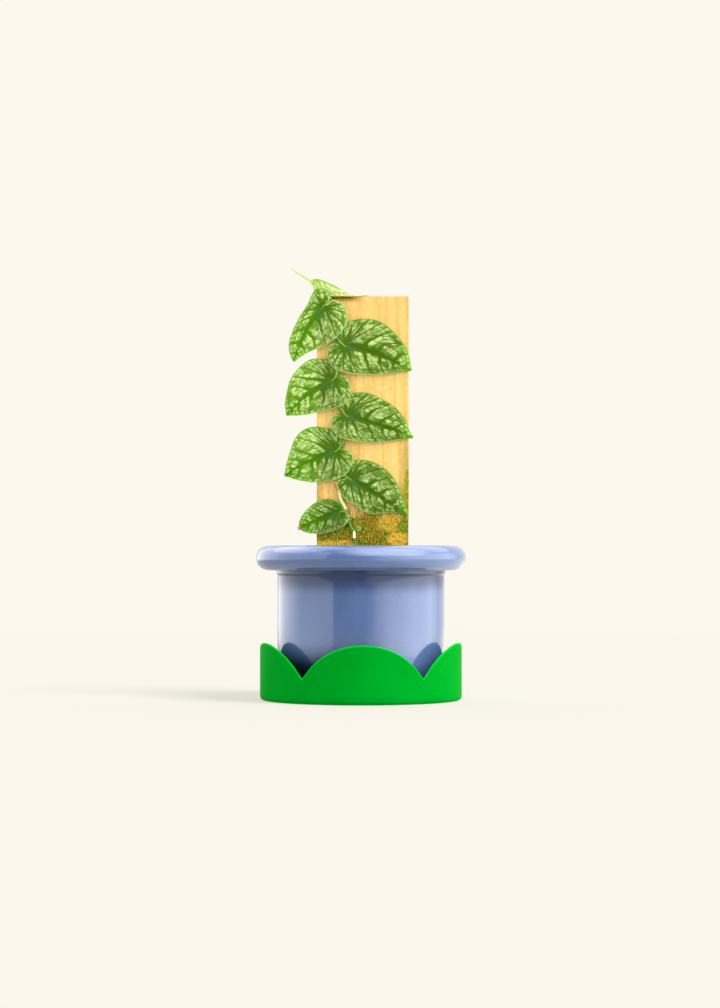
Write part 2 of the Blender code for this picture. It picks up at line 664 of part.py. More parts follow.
def beside_stem(leaf, flat, w):
    """The back of the tiny leaf's blade, level with the stem and a little cupped."""
    joint, ahead, across = leaf_axes(leaf)
    spot = joint + ahead * flat.x + across * flat.y
    return Vector((spot.x, STEM_DEPTH - 0.1 - 0.4 * w * w - 0.06 * flat.x, spot.y))


def main():
    """Builds every piece of the object."""
    clear_scene()
    parts = new_collection("potted_climber")
    cutters = new_collection("cutters")
    build_tray(parts)
    build_pot(parts)
    build_soil(parts, cutters)
    build_board(parts)
    build_stem(parts, cutters)
    for leaf in LEAVES:
        build_leaf(leaf, on_board, PETIOLE_RADIUS, "silvered_leaf", parts, cutters)
    build_top_leaf(parts, cutters)
    build_leaf(BUD, beside_stem, 0.55, "young_leaf", parts, cutters)


main()
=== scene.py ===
"""The looks of a climbing plant pressed to an upright board, in a glazed pot on a scalloped tray.

Frame: metres, +Z up, -Y is the front. Sizes are named in millimetres and turned into metres by MM.
"""

import logging
import math
import random
from collections.abc import Iterator
from contextlib import contextmanager
from dataclasses import dataclass, field
from enum import Enum
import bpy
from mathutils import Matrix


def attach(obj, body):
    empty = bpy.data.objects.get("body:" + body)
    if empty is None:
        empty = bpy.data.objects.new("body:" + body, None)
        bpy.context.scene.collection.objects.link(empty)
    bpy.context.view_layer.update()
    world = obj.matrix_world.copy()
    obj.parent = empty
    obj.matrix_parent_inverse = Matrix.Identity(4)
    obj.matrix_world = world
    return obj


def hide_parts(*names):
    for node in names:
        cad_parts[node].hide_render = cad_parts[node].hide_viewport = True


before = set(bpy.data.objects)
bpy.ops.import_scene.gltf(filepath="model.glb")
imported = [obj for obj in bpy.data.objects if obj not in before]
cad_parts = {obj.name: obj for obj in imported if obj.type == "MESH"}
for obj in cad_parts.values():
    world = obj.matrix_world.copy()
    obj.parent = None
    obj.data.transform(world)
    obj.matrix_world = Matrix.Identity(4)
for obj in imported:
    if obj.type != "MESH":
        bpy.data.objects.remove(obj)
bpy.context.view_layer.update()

from types import SimpleNamespace

import bpy
import numpy as np
from mathutils import Euler, Vector, noise

LOG = logging.getLogger("plant")
MM = 0.001
ROOT = "root"
VEIN_ROWS = 16.0
Colour = tuple[float, float, float]
Point = tuple[float, ...]


# The bench: what every piece is made with


def deselect() -> None:
    """Leaves edit mode and takes the selection off everything."""
    if bpy.context.object and bpy.context.object.mode != "OBJECT":
        bpy.ops.object.mode_set(mode="OBJECT")
    bpy.ops.object.select_all(action="DESELECT")


def take(*pieces: bpy.types.Object) -> None:
    """Selects these objects alone and makes the first one active."""
    deselect()
    for piece in pieces:
        piece.select_set(True)
    bpy.context.view_layer.objects.active = pieces[0]


@contextmanager
def editing(piece: bpy.types.Object) -> Iterator[None]:
    """Edit mode on a piece, with all of it selected at the start."""
    take(piece)
    bpy.ops.object.mode_set(mode="EDIT")
    bpy.ops.mesh.select_all(action="SELECT")
    yield
    bpy.ops.object.mode_set(mode="OBJECT")


def added(name: str) -> bpy.types.Object:
    """Names the primitive that was just added, and its mesh."""
    piece = bpy.context.object
    piece.name = piece.data.name = name
    return piece


def link(name: str, data: bpy.types.ID) -> bpy.types.Object:
    """Adds an object with this mesh, light or camera to the scene."""
    made = bpy.data.objects.new(name, data)
    bpy.context.scene.collection.objects.link(made)
    return made


def join(pieces: list[bpy.types.Object]) -> bpy.types.Object:
    """Joins several objects into the first one and returns it."""
    take(*pieces)
    bpy.ops.object.join()
    return pieces[0]


def weld(piece: bpy.types.Object, distance: float = 0.002) -> None:
    """Merges the points of a piece that share a place, to that distance in millimetres."""
    with editing(piece):
        bpy.ops.mesh.remove_doubles(threshold=distance * MM)


def face_out(piece: bpy.types.Object) -> None:
    """Turns all faces of a closed piece outwards."""
    with editing(piece):
        bpy.ops.mesh.normals_make_consistent(inside=False)


def face_towards(piece: bpy.types.Object, way: Vector) -> None:
    """Turns the faces of an open sheet so that most of them look the given way."""
    face_out(piece)
    looking = sum((poly.normal * poly.area for poly in piece.data.polygons), Vector())
    if looking.dot(way) < 0:
        with editing(piece):
            bpy.ops.mesh.flip_normals()


def smooth(piece: bpy.types.Object, degrees: float) -> None:
    """Shades a piece smooth, with edges over that angle kept sharp."""
    take(piece)
    bpy.ops.object.shade_smooth_by_angle(angle=math.radians(degrees))


def close(piece: bpy.types.Object, degrees: float) -> bpy.types.Object:
    """Closes a piece's seams and ends, turns it the right way out, shades it smooth and returns it."""
    weld(piece)
    face_out(piece)
    smooth(piece, degrees)
    return piece


def apply_modifier(piece: bpy.types.Object, kind: str, **settings: object) -> None:
    """Adds a modifier with these settings and applies it.

    Args:
        piece: The object that gets it.
        kind: The modifier's type.
        settings: Its properties.
    """
    take(piece)
    step = piece.modifiers.new(kind.lower(), kind)
    for name, value in settings.items():
        setattr(step, name, value)
    bpy.ops.object.modifier_apply(modifier=step.name)


def note(piece: bpy.types.Object, name: str, values: np.ndarray) -> None:
    """Stores three numbers for each point of a piece as an attribute of that name."""
    kept = piece.data.attributes.new(name, "FLOAT_VECTOR", "POINT")
    kept.data.foreach_set("vector", values.ravel())


def dress(piece: bpy.types.Object, *materials: bpy.types.Material) -> None:
    """Gives a piece these materials, in this order."""
    piece.data.materials.clear()
    for material in materials:
        piece.data.materials.append(material)


def settle(piece: bpy.types.Object, slot: str, *nodes: str) -> bpy.types.Object:
    """Lets a finished piece ride on the body, hides the solids that it stands for, and logs it.

    Args:
        piece: The finished piece.
        slot: Not used.
        nodes: The names of the solids that it replaces.

    Returns:
        The piece.
    """
    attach(piece, ROOT)
    if nodes:
        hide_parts(*nodes)
    piece.data.calc_loop_triangles()
    LOG.info("%s: %d triangles", piece.name, len(piece.data.loop_triangles))
    return piece


@dataclass
class Sheet:
    """A grid primitive laid on a surface, with each point's column and row in the grid."""

    piece: bpy.types.Object
    column: np.ndarray
    row: np.ndarray

    def map(self, name: str, across: np.ndarray, along: np.ndarray) -> None:
        """Adds a UV map.

        Args:
            name: The map's name.
            across: First coordinate of each (column, row).
            along: Second coordinate of each (column, row).
        """
        mesh = self.piece.data
        corner = np.empty(len(mesh.loops), int)
        mesh.loops.foreach_get("vertex_index", corner)
        column, row = self.column[corner], self.row[corner]
        spots = np.stack([across[column, row], along[column, row]], 1)
        mesh.uv_layers.new(name=name).uv.foreach_set("vector", spots.ravel())

    def note(self, name: str, values: np.ndarray) -> None:
        """Stores the three numbers of each (column, row) as an attribute of that name."""
        note(self.piece, name, values[self.column, self.row])


def lay_sheet(name: str, spots: np.ndarray) -> Sheet:
    """Adds a grid primitive and lays its points on a surface.

    Args:
        name: The new object's name.
        spots: Array of (columns + 1, rows + 1, 3) places in millimetres.

    Returns:
        The sheet.
    """
    columns, rows = spots.shape[0] - 1, spots.shape[1] - 1
    deselect()
    bpy.ops.mesh.primitive_grid_add(x_subdivisions=columns, y_subdivisions=rows, size=1.0)
    piece = added(name)
    mesh = piece.data
    mesh.uv_layers.remove(mesh.uv_layers[0])
    flat = np.empty(len(mesh.vertices) * 3)
    mesh.vertices.foreach_get("co", flat)
    flat = flat.reshape(-1, 3)
    column = np.rint((flat[:, 0] + 0.5) * columns).astype(int)
    row = np.rint((flat[:, 1] + 0.5) * rows).astype(int)
    mesh.vertices.foreach_set("co", (spots[column, row] * MM).ravel())
    mesh.update()
    return Sheet(piece, column, row)


def between(a: np.ndarray, b: np.ndarray, start: float, end: float, t: float) -> np.ndarray:
    """The point between a, which is at start, and b, which is at end."""
    return a * ((end - t) / (end - start)) + b * ((t - start) / (end - start))


def even_curve(points: list[Point], count: int, fineness: int = 16) -> np.ndarray:
    """Points evenly spaced along a centripetal Catmull-Rom curve through the given ones.

    Args:
        points: The points that the curve passes, two or three numbers each.
        count: How many equal steps to take.
        fineness: How many points the curve is measured at from one given point to the next.

    Returns:
        An array of count + 1 points.
    """
    known = np.asarray(points, float)
    known = np.vstack([known[0] * 2 - known[1], known, known[-1] * 2 - known[-2]])
    fine = []
    for p0, p1, p2, p3 in zip(known, known[1:], known[2:], known[3:]):
        t1 = math.sqrt(np.linalg.norm(p1 - p0))
        t2 = t1 + math.sqrt(np.linalg.norm(p2 - p1))
        t3 = t2 + math.sqrt(np.linalg.norm(p3 - p2))
        for t in (t1 + (t2 - t1) * k / fineness for k in range(fineness)):
            second = between(p1, p2, t1, t2, t)
            early = between(between(p0, p1, 0.0, t1, t), second, 0.0, t2, t)
            late = between(second, between(p2, p3, t2, t3, t), t1, t3, t)
            fine.append(between(early, late, t1, t2, t))
    line = np.array([*fine, known[-2]])
    run = np.concatenate([[0.0], np.cumsum(np.linalg.norm(np.diff(line, axis=0), axis=1))])
    want = np.linspace(0.0, run[-1], count + 1)
    return np.stack([np.interp(want, run, line[:, k]) for k in range(line.shape[1])], 1)


def rod(name: str, path: np.ndarray, radii: np.ndarray, sides: int, *bark: object) -> bpy.types.Object:
    """A closed round rod along a path.

    Args:
        name: The new object's name.
        path: The points of its middle line, in millimetres.
        radii: The radius at each point.
        sides: How many faces go round it.
        bark: How pale, how brown and how green it is: numbers, or arrays with a value for each point and
            for each end.

    Returns:
        The rod.
    """
    ahead = np.gradient(path, axis=0)
    ahead /= np.linalg.norm(ahead, axis=1, keepdims=True)
    side = np.cross(ahead[0], (0.0, 1.0, 0.3))
    around = []
    for way in ahead:
        side = side - way * side.dot(way)
        side = side / np.linalg.norm(side)
        around.append(side)
    first = np.array(around)
    second = np.cross(ahead, first)
    turn = np.linspace(0.0, 2 * math.pi, sides + 1)[:, None, None]
    rings = path[None] + radii[None, :, None] * (np.cos(turn) * first[None] + np.sin(turn) * second[None])
    ends = [np.repeat(path[k][None, None], sides + 1, axis=0) for k in (0, -1)]
    made = lay_sheet(name, np.concatenate([ends[0], rings, ends[1]], axis=1))
    tones = np.stack(np.broadcast_arrays(*bark), -1)
    made.note("bark", np.broadcast_to(tones, (sides + 1, len(path) + 2, 3)))
    return close(made.piece, 60)


# Finishes


class Recipe:
    """Lays out the nodes of a material, of a light or of the surroundings."""

    def __init__(self, owner: str | bpy.types.ID) -> None:
        """Empties the owner's nodes, or those of a new material of that name."""
        self.owner = bpy.data.materials.new(owner) if isinstance(owner, str) else owner
        self.owner.use_nodes = True
        self.tree = self.owner.node_tree
        self.tree.nodes.clear()

    def put(self, socket: bpy.types.NodeSocket, value: object) -> None:
        """Links a socket to another one, or sets its value."""
        if isinstance(value, bpy.types.NodeSocket):
            self.tree.links.new(value, socket)
        elif socket.type == "RGBA":
            socket.default_value = (*value, 1.0)
        else:
            socket.default_value = value

    def node(self, kind: str, inputs: dict, **settings: object) -> bpy.types.Node:
        """Adds a node.

        Args:
            kind: The node's type, without the words that all types share.
            inputs: Values or sockets by input name or index; None leaves an input as it is.
            settings: The node's properties.

        Returns:
            The node.
        """
        made = self.tree.nodes.new("ShaderNode" + kind)
        for name, value in settings.items():
            setattr(made, name, value)
        for name, value in inputs.items():
            if value is not None:
                self.put(made.inputs[name], value)
        return made

    def out(self, kind: str, inputs: dict, output: str | int = 0, **settings: object):
        """Adds a node and returns one of its outputs."""
        return self.node(kind, inputs, **settings).outputs[output]

    def math(self, operation: str, *values: object, clamp: bool = False):
        """The result of Math nodes that take in the values one after another."""
        result = values[0]
        for value in values[1:]:
            result = self.out("Math", {0: result, 1: value}, operation=operation, use_clamp=clamp)
        return result

    def both(self, *shares: object):
        """The product of several shares."""
        return self.math("MULTIPLY", *shares)

    def plus(self, *parts: object, clamp: bool = False):
        """The sum of several parts."""
        return self.math("ADD", *parts, clamp=clamp)

    def most(self, *shares: object):
        """The greatest of several shares."""
        return self.math("MAXIMUM", *shares)

    def less(self, share: object):
        """One minus a share."""
        return self.math("SUBTRACT", 1.0, share)

    def centred(self, value: object):
        """A value between 0 and 1, moved round 0."""
        return self.math("SUBTRACT", value, 0.5)

    def to_whole(self, number: object):
        """How far a number is from the nearest whole one."""
        return self.math("PINGPONG", number, 0.5)

    def size(self, number: object):
        """A number without its sign."""
        return self.math("ABSOLUTE", number, 0.0)

    def length(self, vector: object):
        """The length of a vector."""
        return self.out("VectorMath", {0: vector}, "Value", operation="LENGTH")

    def ease(self, value: object, low: object, high: object, start: object = 0.0, end: object = 1.0):
        """A smooth step from start at low to end at high."""
        return self.out("MapRange", {"Value": value, "From Min": low, "From Max": high, "To Min": start,
                                     "To Max": end}, interpolation_type="SMOOTHSTEP")

    def mix(self, share: object, first: object, second: object, blend: str = "MIX"):
        """A mix of two colours."""
        return self.out("Mix", {0: share, 6: first, 7: second}, 2, data_type="RGBA", blend_type=blend)

    def coats(self, colour: object, *coats: tuple):
        """A colour with others laid over it in turn, given as pairs of a share and a colour."""
        for share, coat in coats:
            colour = self.mix(share, colour, coat)
        return colour

    def here(self):
        """The place in the object's own coordinates."""
        return self.out("TexCoord", {}, "Object")

    def map(self, name: str):
        """The piece's own UV map of that name."""
        return self.out("UVMap", {}, uv_map=name)

    def noted(self, name: str):
        """The three numbers of the piece's own attribute."""
        return self.split(self.out("Attribute", {}, "Vector", attribute_name=name))

    def split(self, vector: object) -> list:
        """The three parts of a vector."""
        return list(self.node("SeparateXYZ", {0: vector}).outputs)

    def vector(self, *parts: object):
        """A vector of two or three parts."""
        return self.out("CombineXYZ", dict(enumerate(parts)))

    def stretched(self, where: object, scale: Point, shift: Point = (0.0, 0.0, 0.0)):
        """Coordinates that are scaled and moved."""
        return self.out("Mapping", {"Vector": where, "Scale": scale, "Location": shift})

    def noise(self, where: object, scale: float | Point, detail: float = 2.0, rough: float = 0.5,
              twist: float = 0.0, shift: Point = (0.0, 0.0, 0.0)):
        """Cloudy noise between 0 and 1, by one scale or by one for each axis, and moved by a shift."""
        if isinstance(scale, tuple):
            where, scale = self.stretched(where, scale, shift), 1.0
        return self.out("TexNoise", {"Vector": where, "Scale": scale, "Detail": detail, "Roughness": rough,
                                     "Distortion": twist})

    def cells(self, where: object, scale: float, feature: str = "F1"):
        """Distances in a pattern of cells: to the nearest centre, or to the nearest border."""
        return self.out("TexVoronoi", {"Vector": where, "Scale": scale}, feature=feature)

    def web(self, where: object, scale: float):
        """The thin borders of such cells."""
        return self.ease(self.cells(where, scale, "DISTANCE_TO_EDGE"), 0.03, 0.12, 1.0, 0.0)

    def lot(self, where: object):
        """A random number between 0 and 1 for each cell of the pattern at scale 1."""
        return self.split(self.out("TexVoronoi", {"Vector": where, "Scale": 1.0}, "Color"))[0]

    def bump(self, height: object, strength: float, distance: float, under: object = None):
        """A normal raised by a height."""
        return self.out("Bump", {"Height": height, "Strength": strength, "Distance": distance,
                                 "Normal": under})

    def skin(self, colour: object, roughness: object, normal: object, **levels: object):
        """A Principled shader.

        Args:
            colour: Base colour.
            roughness: Roughness.
            normal: Normal.
            levels: Other inputs by name, with _ for a space, set on the shader's own sockets.

        Returns:
            The shader's output.
        """
        others = {name.replace("_", " "): value for name, value in levels.items()}
        return self.out("BsdfPrincipled", {"Base Color": colour, "Roughness": roughness, "Normal": normal,
                                           **others})

    def let_through(self, share: float, shader: object, colour: object, normal: object = None):
        """The shader mixed with light that comes through a thin blade."""
        through = self.out("BsdfTranslucent", {"Color": colour, "Normal": normal})
        return self.out("MixShader", {0: share, 1: shader, 2: through})

    def done(self, shader: object, kind: str = "Material") -> bpy.types.ID:
        """Connects the shader to the output and returns what the nodes belong to."""
        self.node("Output" + kind, {"Surface": shader})
        return self.owner


@dataclass(frozen=True)
class GreenEnamel:
    """Sprayed enamel on sheet metal, with a little orange peel and a painted highlight along the rolled
    scalloped edge.
    """

    colour: Colour = (0.0, 0.345, 0.019)
    deep: Colour = (0.0, 0.310, 0.016)
    # The lighter green of the painted highlight along the rolled scalloped edge.
    edge: Colour = (0.0, 0.52, 0.020)
    fleck: Colour = (0.0, 0.42, 0.03)
    sheen: Colour = (0.0, 1.0, 0.2)

    def material(self) -> bpy.types.Material:
        """Makes the material."""
        r = Recipe("green_enamel")
        here = r.here()
        cloud = r.noise(here, 30.0, 3.0)
        peel = r.noise(here, 900.0, 2.0)
        fleck = r.ease(r.noise(here, 2600.0, 1.0), 0.62, 0.8)
        # How far under the scalloped edge: near it the edge colour is laid on as a painted highlight.
        below, _, _ = r.noted("below")
        colour = r.coats(self.deep, (r.ease(cloud, 0.35, 0.7), self.colour),
                         (r.both(fleck, 0.12), self.fleck), (r.ease(below, 1.9, 1.2), self.edge))
        rough = r.ease(cloud, 0.3, 0.7, 0.34, 0.40)
        normal = r.bump(peel, 0.06, 0.0004)
        return r.done(r.skin(colour, rough, normal, IOR=1.03, Specular_Tint=self.sheen))


@dataclass(frozen=True)
class LavenderGlaze:
    """A glossy glaze over fine clay: thinner on the rim's edges, thicker and darker where it pooled, with
    painted shade under the rim and low on the body inside the tray.
    """

    colour: Colour = (0.098, 0.165, 0.375)
    pooled: Colour = (0.078, 0.138, 0.330)
    thin: Colour = (0.135, 0.205, 0.430)
    speck: Colour = (0.06, 0.08, 0.2)
    # Painted shade on the body under the rim.
    painted_shade_under_rim: Colour = (0.006, 0.026, 0.105)
    # Painted shade low on the body inside the tray.
    painted_shade_at_foot: Colour = (0.0, 0.010, 0.010)

    def material(self) -> bpy.types.Material:
        """Makes the material."""
        r = Recipe("lavender_glaze")
        here = r.here()
        cloud = r.noise(here, (24.0, 24.0, 12.0), 4.0, 0.55)
        mottle = r.noise(here, 620.0, 3.0, 0.65)
        speck = r.ease(r.cells(here, 420.0), 0.16, 0.05)
        x, y, z = r.split(here)
        radius = r.length(r.vector(x, y))
        body = r.both(r.ease(radius, 0.0836, 0.0828), r.ease(radius, 0.078, 0.080))
        # Painted shade on the body just under the rim's overhang; it also dulls the gloss there.
        under = r.both(r.ease(z, 0.1010, 0.1185), body)
        # Painted shade low on the body inside the tray, reaching higher on the left, away from the light; it
        # also dulls the gloss there.
        foot = r.mix(r.ease(x, -0.03, 0.03), r.ease(z, 0.0600, 0.0310),
                     r.both(r.ease(z, 0.0420, 0.0180), 0.5))
        foot = r.both(foot, body)
        colour = r.coats(
            self.pooled, (r.ease(cloud, 0.3, 0.72), self.colour),
            (r.ease(mottle, 0.42, 0.72, 0.0, 0.35), self.thin), (r.both(speck, 0.10), self.speck),
            (r.both(under, 0.8), self.painted_shade_under_rim), (r.both(foot, 0.97), self.painted_shade_at_foot))
        gloss = r.less(r.most(r.both(under, 0.45), r.both(foot, 0.95)))
        normal = r.bump(r.noise(here, 55.0), 0.10, 0.0012)
        normal = r.bump(r.noise(here, 700.0), 0.03, 0.0002, normal)
        rough = r.ease(mottle, 0.3, 0.7, 0.10, 0.16)
        return r.done(r.skin(colour, rough, normal, Specular_IOR_Level=r.both(gloss, 0.8),
                             Coat_Weight=r.both(gloss, 0.8), Coat_Roughness=0.04))


class Grain(Enum):
    """What lies in the potting mix."""

    EARTH = "earth"
    PERLITE = "perlite"
    BARK = "bark"


@dataclass(frozen=True)
class PottingMix:
    """Moist potting mix and the grains in it."""

    grain: Grain = Grain.EARTH

    def material(self) -> bpy.types.Material:
        """Makes the material of this grain."""
        r = Recipe("potting_" + self.grain.value)
        here = r.here()
        coarse = r.noise(here, 160.0, 4.0, 0.65)
        fine = r.noise(here, 1100.0, 3.0, 0.7)
        if self.grain is Grain.PERLITE:
            colour = r.mix(r.ease(coarse, 0.3, 0.7), (0.62, 0.60, 0.55), (0.78, 0.77, 0.73))
            colour = r.mix(r.ease(r.cells(here, 900.0), 0.3, 0.1), colour, (0.40, 0.37, 0.32))
        elif self.grain is Grain.BARK:
            streak = r.noise(here, (700.0, 140.0, 700.0), 3.0)
            colour = r.mix(r.ease(streak, 0.3, 0.7), (0.10, 0.045, 0.02), (0.24, 0.12, 0.055))
        else:
            colour = r.mix(r.ease(coarse, 0.3, 0.7), (0.018, 0.011, 0.007), (0.062, 0.038, 0.022))
            colour = r.mix(r.ease(fine, 0.6, 0.78, 0.0, 0.6), colour, (0.13, 0.085, 0.05))
        normal = r.bump(r.plus(coarse, r.both(fine, 0.4)), 0.8, 0.0012)
        return r.done(r.skin(colour, r.ease(fine, 0.3, 0.7, 0.72, 0.95), normal, Specular_IOR_Level=0.3))


@dataclass(frozen=True)
class SawnWood:
    """Pale softwood: rings round a far heart, saw marks, weather-worn edges, moss and stains near the soil, a
    darker patch by the top-left corner, and painted shade that darkens it towards the top.
    """

    pale: Colour = (0.715, 0.494, 0.164)
    late: Colour = (0.62, 0.300, 0.060)
    red: Colour = (0.60, 0.17, 0.03)
    moss: Colour = (0.056, 0.076, 0.0)
    moss_light: Colour = (0.25, 0.30, 0.002)
    leafy: Colour = (0.12, 0.22, 0.002)
    mud: Colour = (0.25, 0.14, 0.008)
    tan: Colour = (0.78, 0.46, 0.055)
    # A dark colour laid along the board's top near the left corner, under the top leaf.
    dark_top_corner: Colour = (0.11, 0.06, 0.004)
    sawn_dark: Colour = (0.74, 0.36, 0.09)
    sawn_light: Colour = (0.82, 0.63, 0.26)
    cloudy: Colour = (0.80, 0.41, 0.10)
    edge: Colour = (0.66, 0.30, 0.05)
    film: Colour = (0.30, 0.33, 0.01)
    straw: Colour = (1.0, 0.72, 0.10)
    pits: Colour = (0.36, 0.38, 0.12)
    # Grey multiplied in as painted shade, more towards the top.
    painted_shade_towards_top: Colour = (0.55, 0.52, 0.50)
    end_grain: Colour = (0.50, 0.25, 0.06)
    sheen: Colour = (1.0, 0.8, 0.3)

    def patch(self, r: Recipe, x: object, z: object, spot: tuple, size: tuple, fray: object):
        """The share of a ragged oval patch.

        Args:
            r: The recipe.
            x: Place across the board.
            z: Height.
            spot: Its middle, in metres.
            size: Its half width and half height.
            fray: Noise round 0 that makes its outline ragged.

        Returns:
            The share, 1 inside.
        """
        off = r.vector(r.math("DIVIDE", r.math("SUBTRACT", x, spot[0]), size[0]),
                       r.math("DIVIDE", r.math("SUBTRACT", z, spot[1]), size[1]))
        far = r.length(off)
        return r.ease(r.plus(far, r.both(fray, 2.6)), 0.85, 1.1, 1.0, 0.0)

    def material(self) -> bpy.types.Material:
        """Makes the material."""
        r = Recipe("pale_wood")
        here = r.here()
        x, _, z = r.split(here)
        bend = r.noise(here, (9.0, 9.0, 2.2), 3.0)
        heart = r.length(r.stretched(here, (1.0, 1.0, 0.0), (-0.012, -0.075, 0.0)))
        year = r.to_whole(r.plus(r.both(heart, 330.0), r.both(bend, 6.5)))
        fibre = r.noise(here, (1000.0, 1000.0, 30.0), 3.0, 0.65)
        streak = r.noise(here, (330.0, 330.0, 9.0), 3.0, 0.6)
        broad = r.noise(here, (40.0, 40.0, 6.0), 2.0)
        tone = r.plus(r.both(r.ease(year, 0.30, 0.5), 0.35), r.ease(streak, 0.42, 0.70, 0.0, 0.5))
        tone = r.plus(tone, r.ease(fibre, 0.46, 0.66, -0.12, 0.46), clamp=True)
        rough = r.noise(here, (760.0, 760.0, 260.0), 3.0, 0.75, shift=(0.0, 5.0, 0.0))
        side = r.most(r.ease(x, 0.0445, 0.0462), r.ease(x, -0.0405, -0.0427))
        mark = r.noise(here, (230.0, 230.0, 42.0), 3.0, 0.6, shift=(3.0, 0.0, 1.0))
        fleck = r.noise(here, (330.0, 330.0, 200.0), 2.0, 0.6, shift=(7.0, 0.0, 2.0))
        colour = r.coats(
            self.pale, (tone, self.late), (r.ease(rough, 0.50, 0.66, 0.0, 0.5), self.sawn_dark),
            (r.ease(rough, 0.46, 0.34, 0.0, 0.7), self.sawn_light),
            (r.ease(broad, 0.5, 0.75, 0.0, 0.35), self.cloudy), (r.both(side, 0.4), self.edge),
            (r.ease(mark, 0.61, 0.72, 0.0, 0.75), self.red),
            (r.both(r.ease(fleck, 0.64, 0.74), r.ease(broad, 0.42, 0.6), 0.8), self.red))
        face = r.noise(here, (60.0, 60.0, 26.0), 4.0, 0.62, 0.4)
        small = r.noise(here, (420.0, 420.0, 160.0), 3.0, 0.7)
        crumb = r.noise(here, (900.0, 900.0, 420.0), 2.0, 0.7)
        fray = r.plus(r.both(r.centred(face), 0.8), r.both(r.centred(small), 0.5))
        low = r.plus(z, r.both(fray, 0.034))
        wet = r.ease(low, 0.1840, 0.1765)
        right = r.plus(x, r.both(fray, 0.020))
        beside = r.both(r.ease(right, 0.033, 0.043), r.ease(z, 0.268, 0.232), 0.55)
        strip = r.both(r.ease(right, 0.0405, 0.0435), r.ease(z, 0.232, 0.218))
        left = r.both(r.ease(right, -0.036, -0.043), r.ease(z, 0.215, 0.195), 0.6)
        by_edge = r.most(beside, strip)
        damp = r.both(r.most(wet, by_edge, left), r.ease(small, 0.26, 0.46, 0.5, 1.0))
        lit = r.ease(r.plus(r.both(small, 0.6), r.both(crumb, 0.4)), 0.42, 0.60)
        spots = ((self.tan, (0.028, 0.1715), (0.012, 0.009), 0.55),
                 (self.leafy, (0.042, 0.1665), (0.006, 0.008), 0.9),
                 (self.tan, (0.036, 0.1555), (0.011, 0.0065), 0.95),
                 (self.tan, (-0.028, 0.150), (0.022, 0.005), 0.8))
        fray = r.plus(fray, r.both(r.centred(crumb), 0.35))
        patches = [(r.both(self.patch(r, x, z, spot, size, fray), share), tint)
                   for tint, spot, size, share in spots]
        growth = r.coats(
            self.moss, (lit, self.moss_light), (r.ease(face, 0.54, 0.44, 0.0, 0.65), self.mud),
            (r.both(r.ease(crumb, 0.60, 0.72), 0.6), self.tan), (r.both(by_edge, 0.7), self.film), *patches,
            (r.both(r.ease(crumb, 0.52, 0.66), 0.35), self.straw))
        pits = r.ease(r.plus(r.both(crumb, 0.6), r.both(small, 0.4)), 0.53, 0.42, 0.0, 0.95)
        growth = r.mix(pits, growth, self.pits, "MULTIPLY")
        # A darker patch along the board's top near the left corner.
        corner = r.both(r.ease(z, 0.3835, 0.3905), r.ease(x, 0.004, -0.012),
                        r.ease(small, 0.2, 0.5, 0.5, 1.0))
        colour = r.coats(colour, (r.both(damp, 0.96), growth), (corner, self.dark_top_corner))
        # Painted shade: darkens the board more and more towards its top.
        colour = r.mix(r.ease(z, 0.26, 0.39, 0.18, 0.39), colour, self.painted_shade_towards_top, "MULTIPLY")
        colour = r.mix(r.both(r.ease(z, 0.3906, 0.3911), 0.6), colour, self.end_grain)
        height = r.plus(r.both(fibre, 0.5), r.both(tone, -0.6))
        height = r.plus(height, r.both(damp, r.plus(small, crumb), 1.6))
        normal = r.bump(height, 0.55, 0.0005)
        return r.done(r.skin(colour, r.ease(damp, 0.0, 1.0, 0.62, 0.9), normal, Specular_IOR_Level=0.05,
                             Specular_Tint=self.sheen))


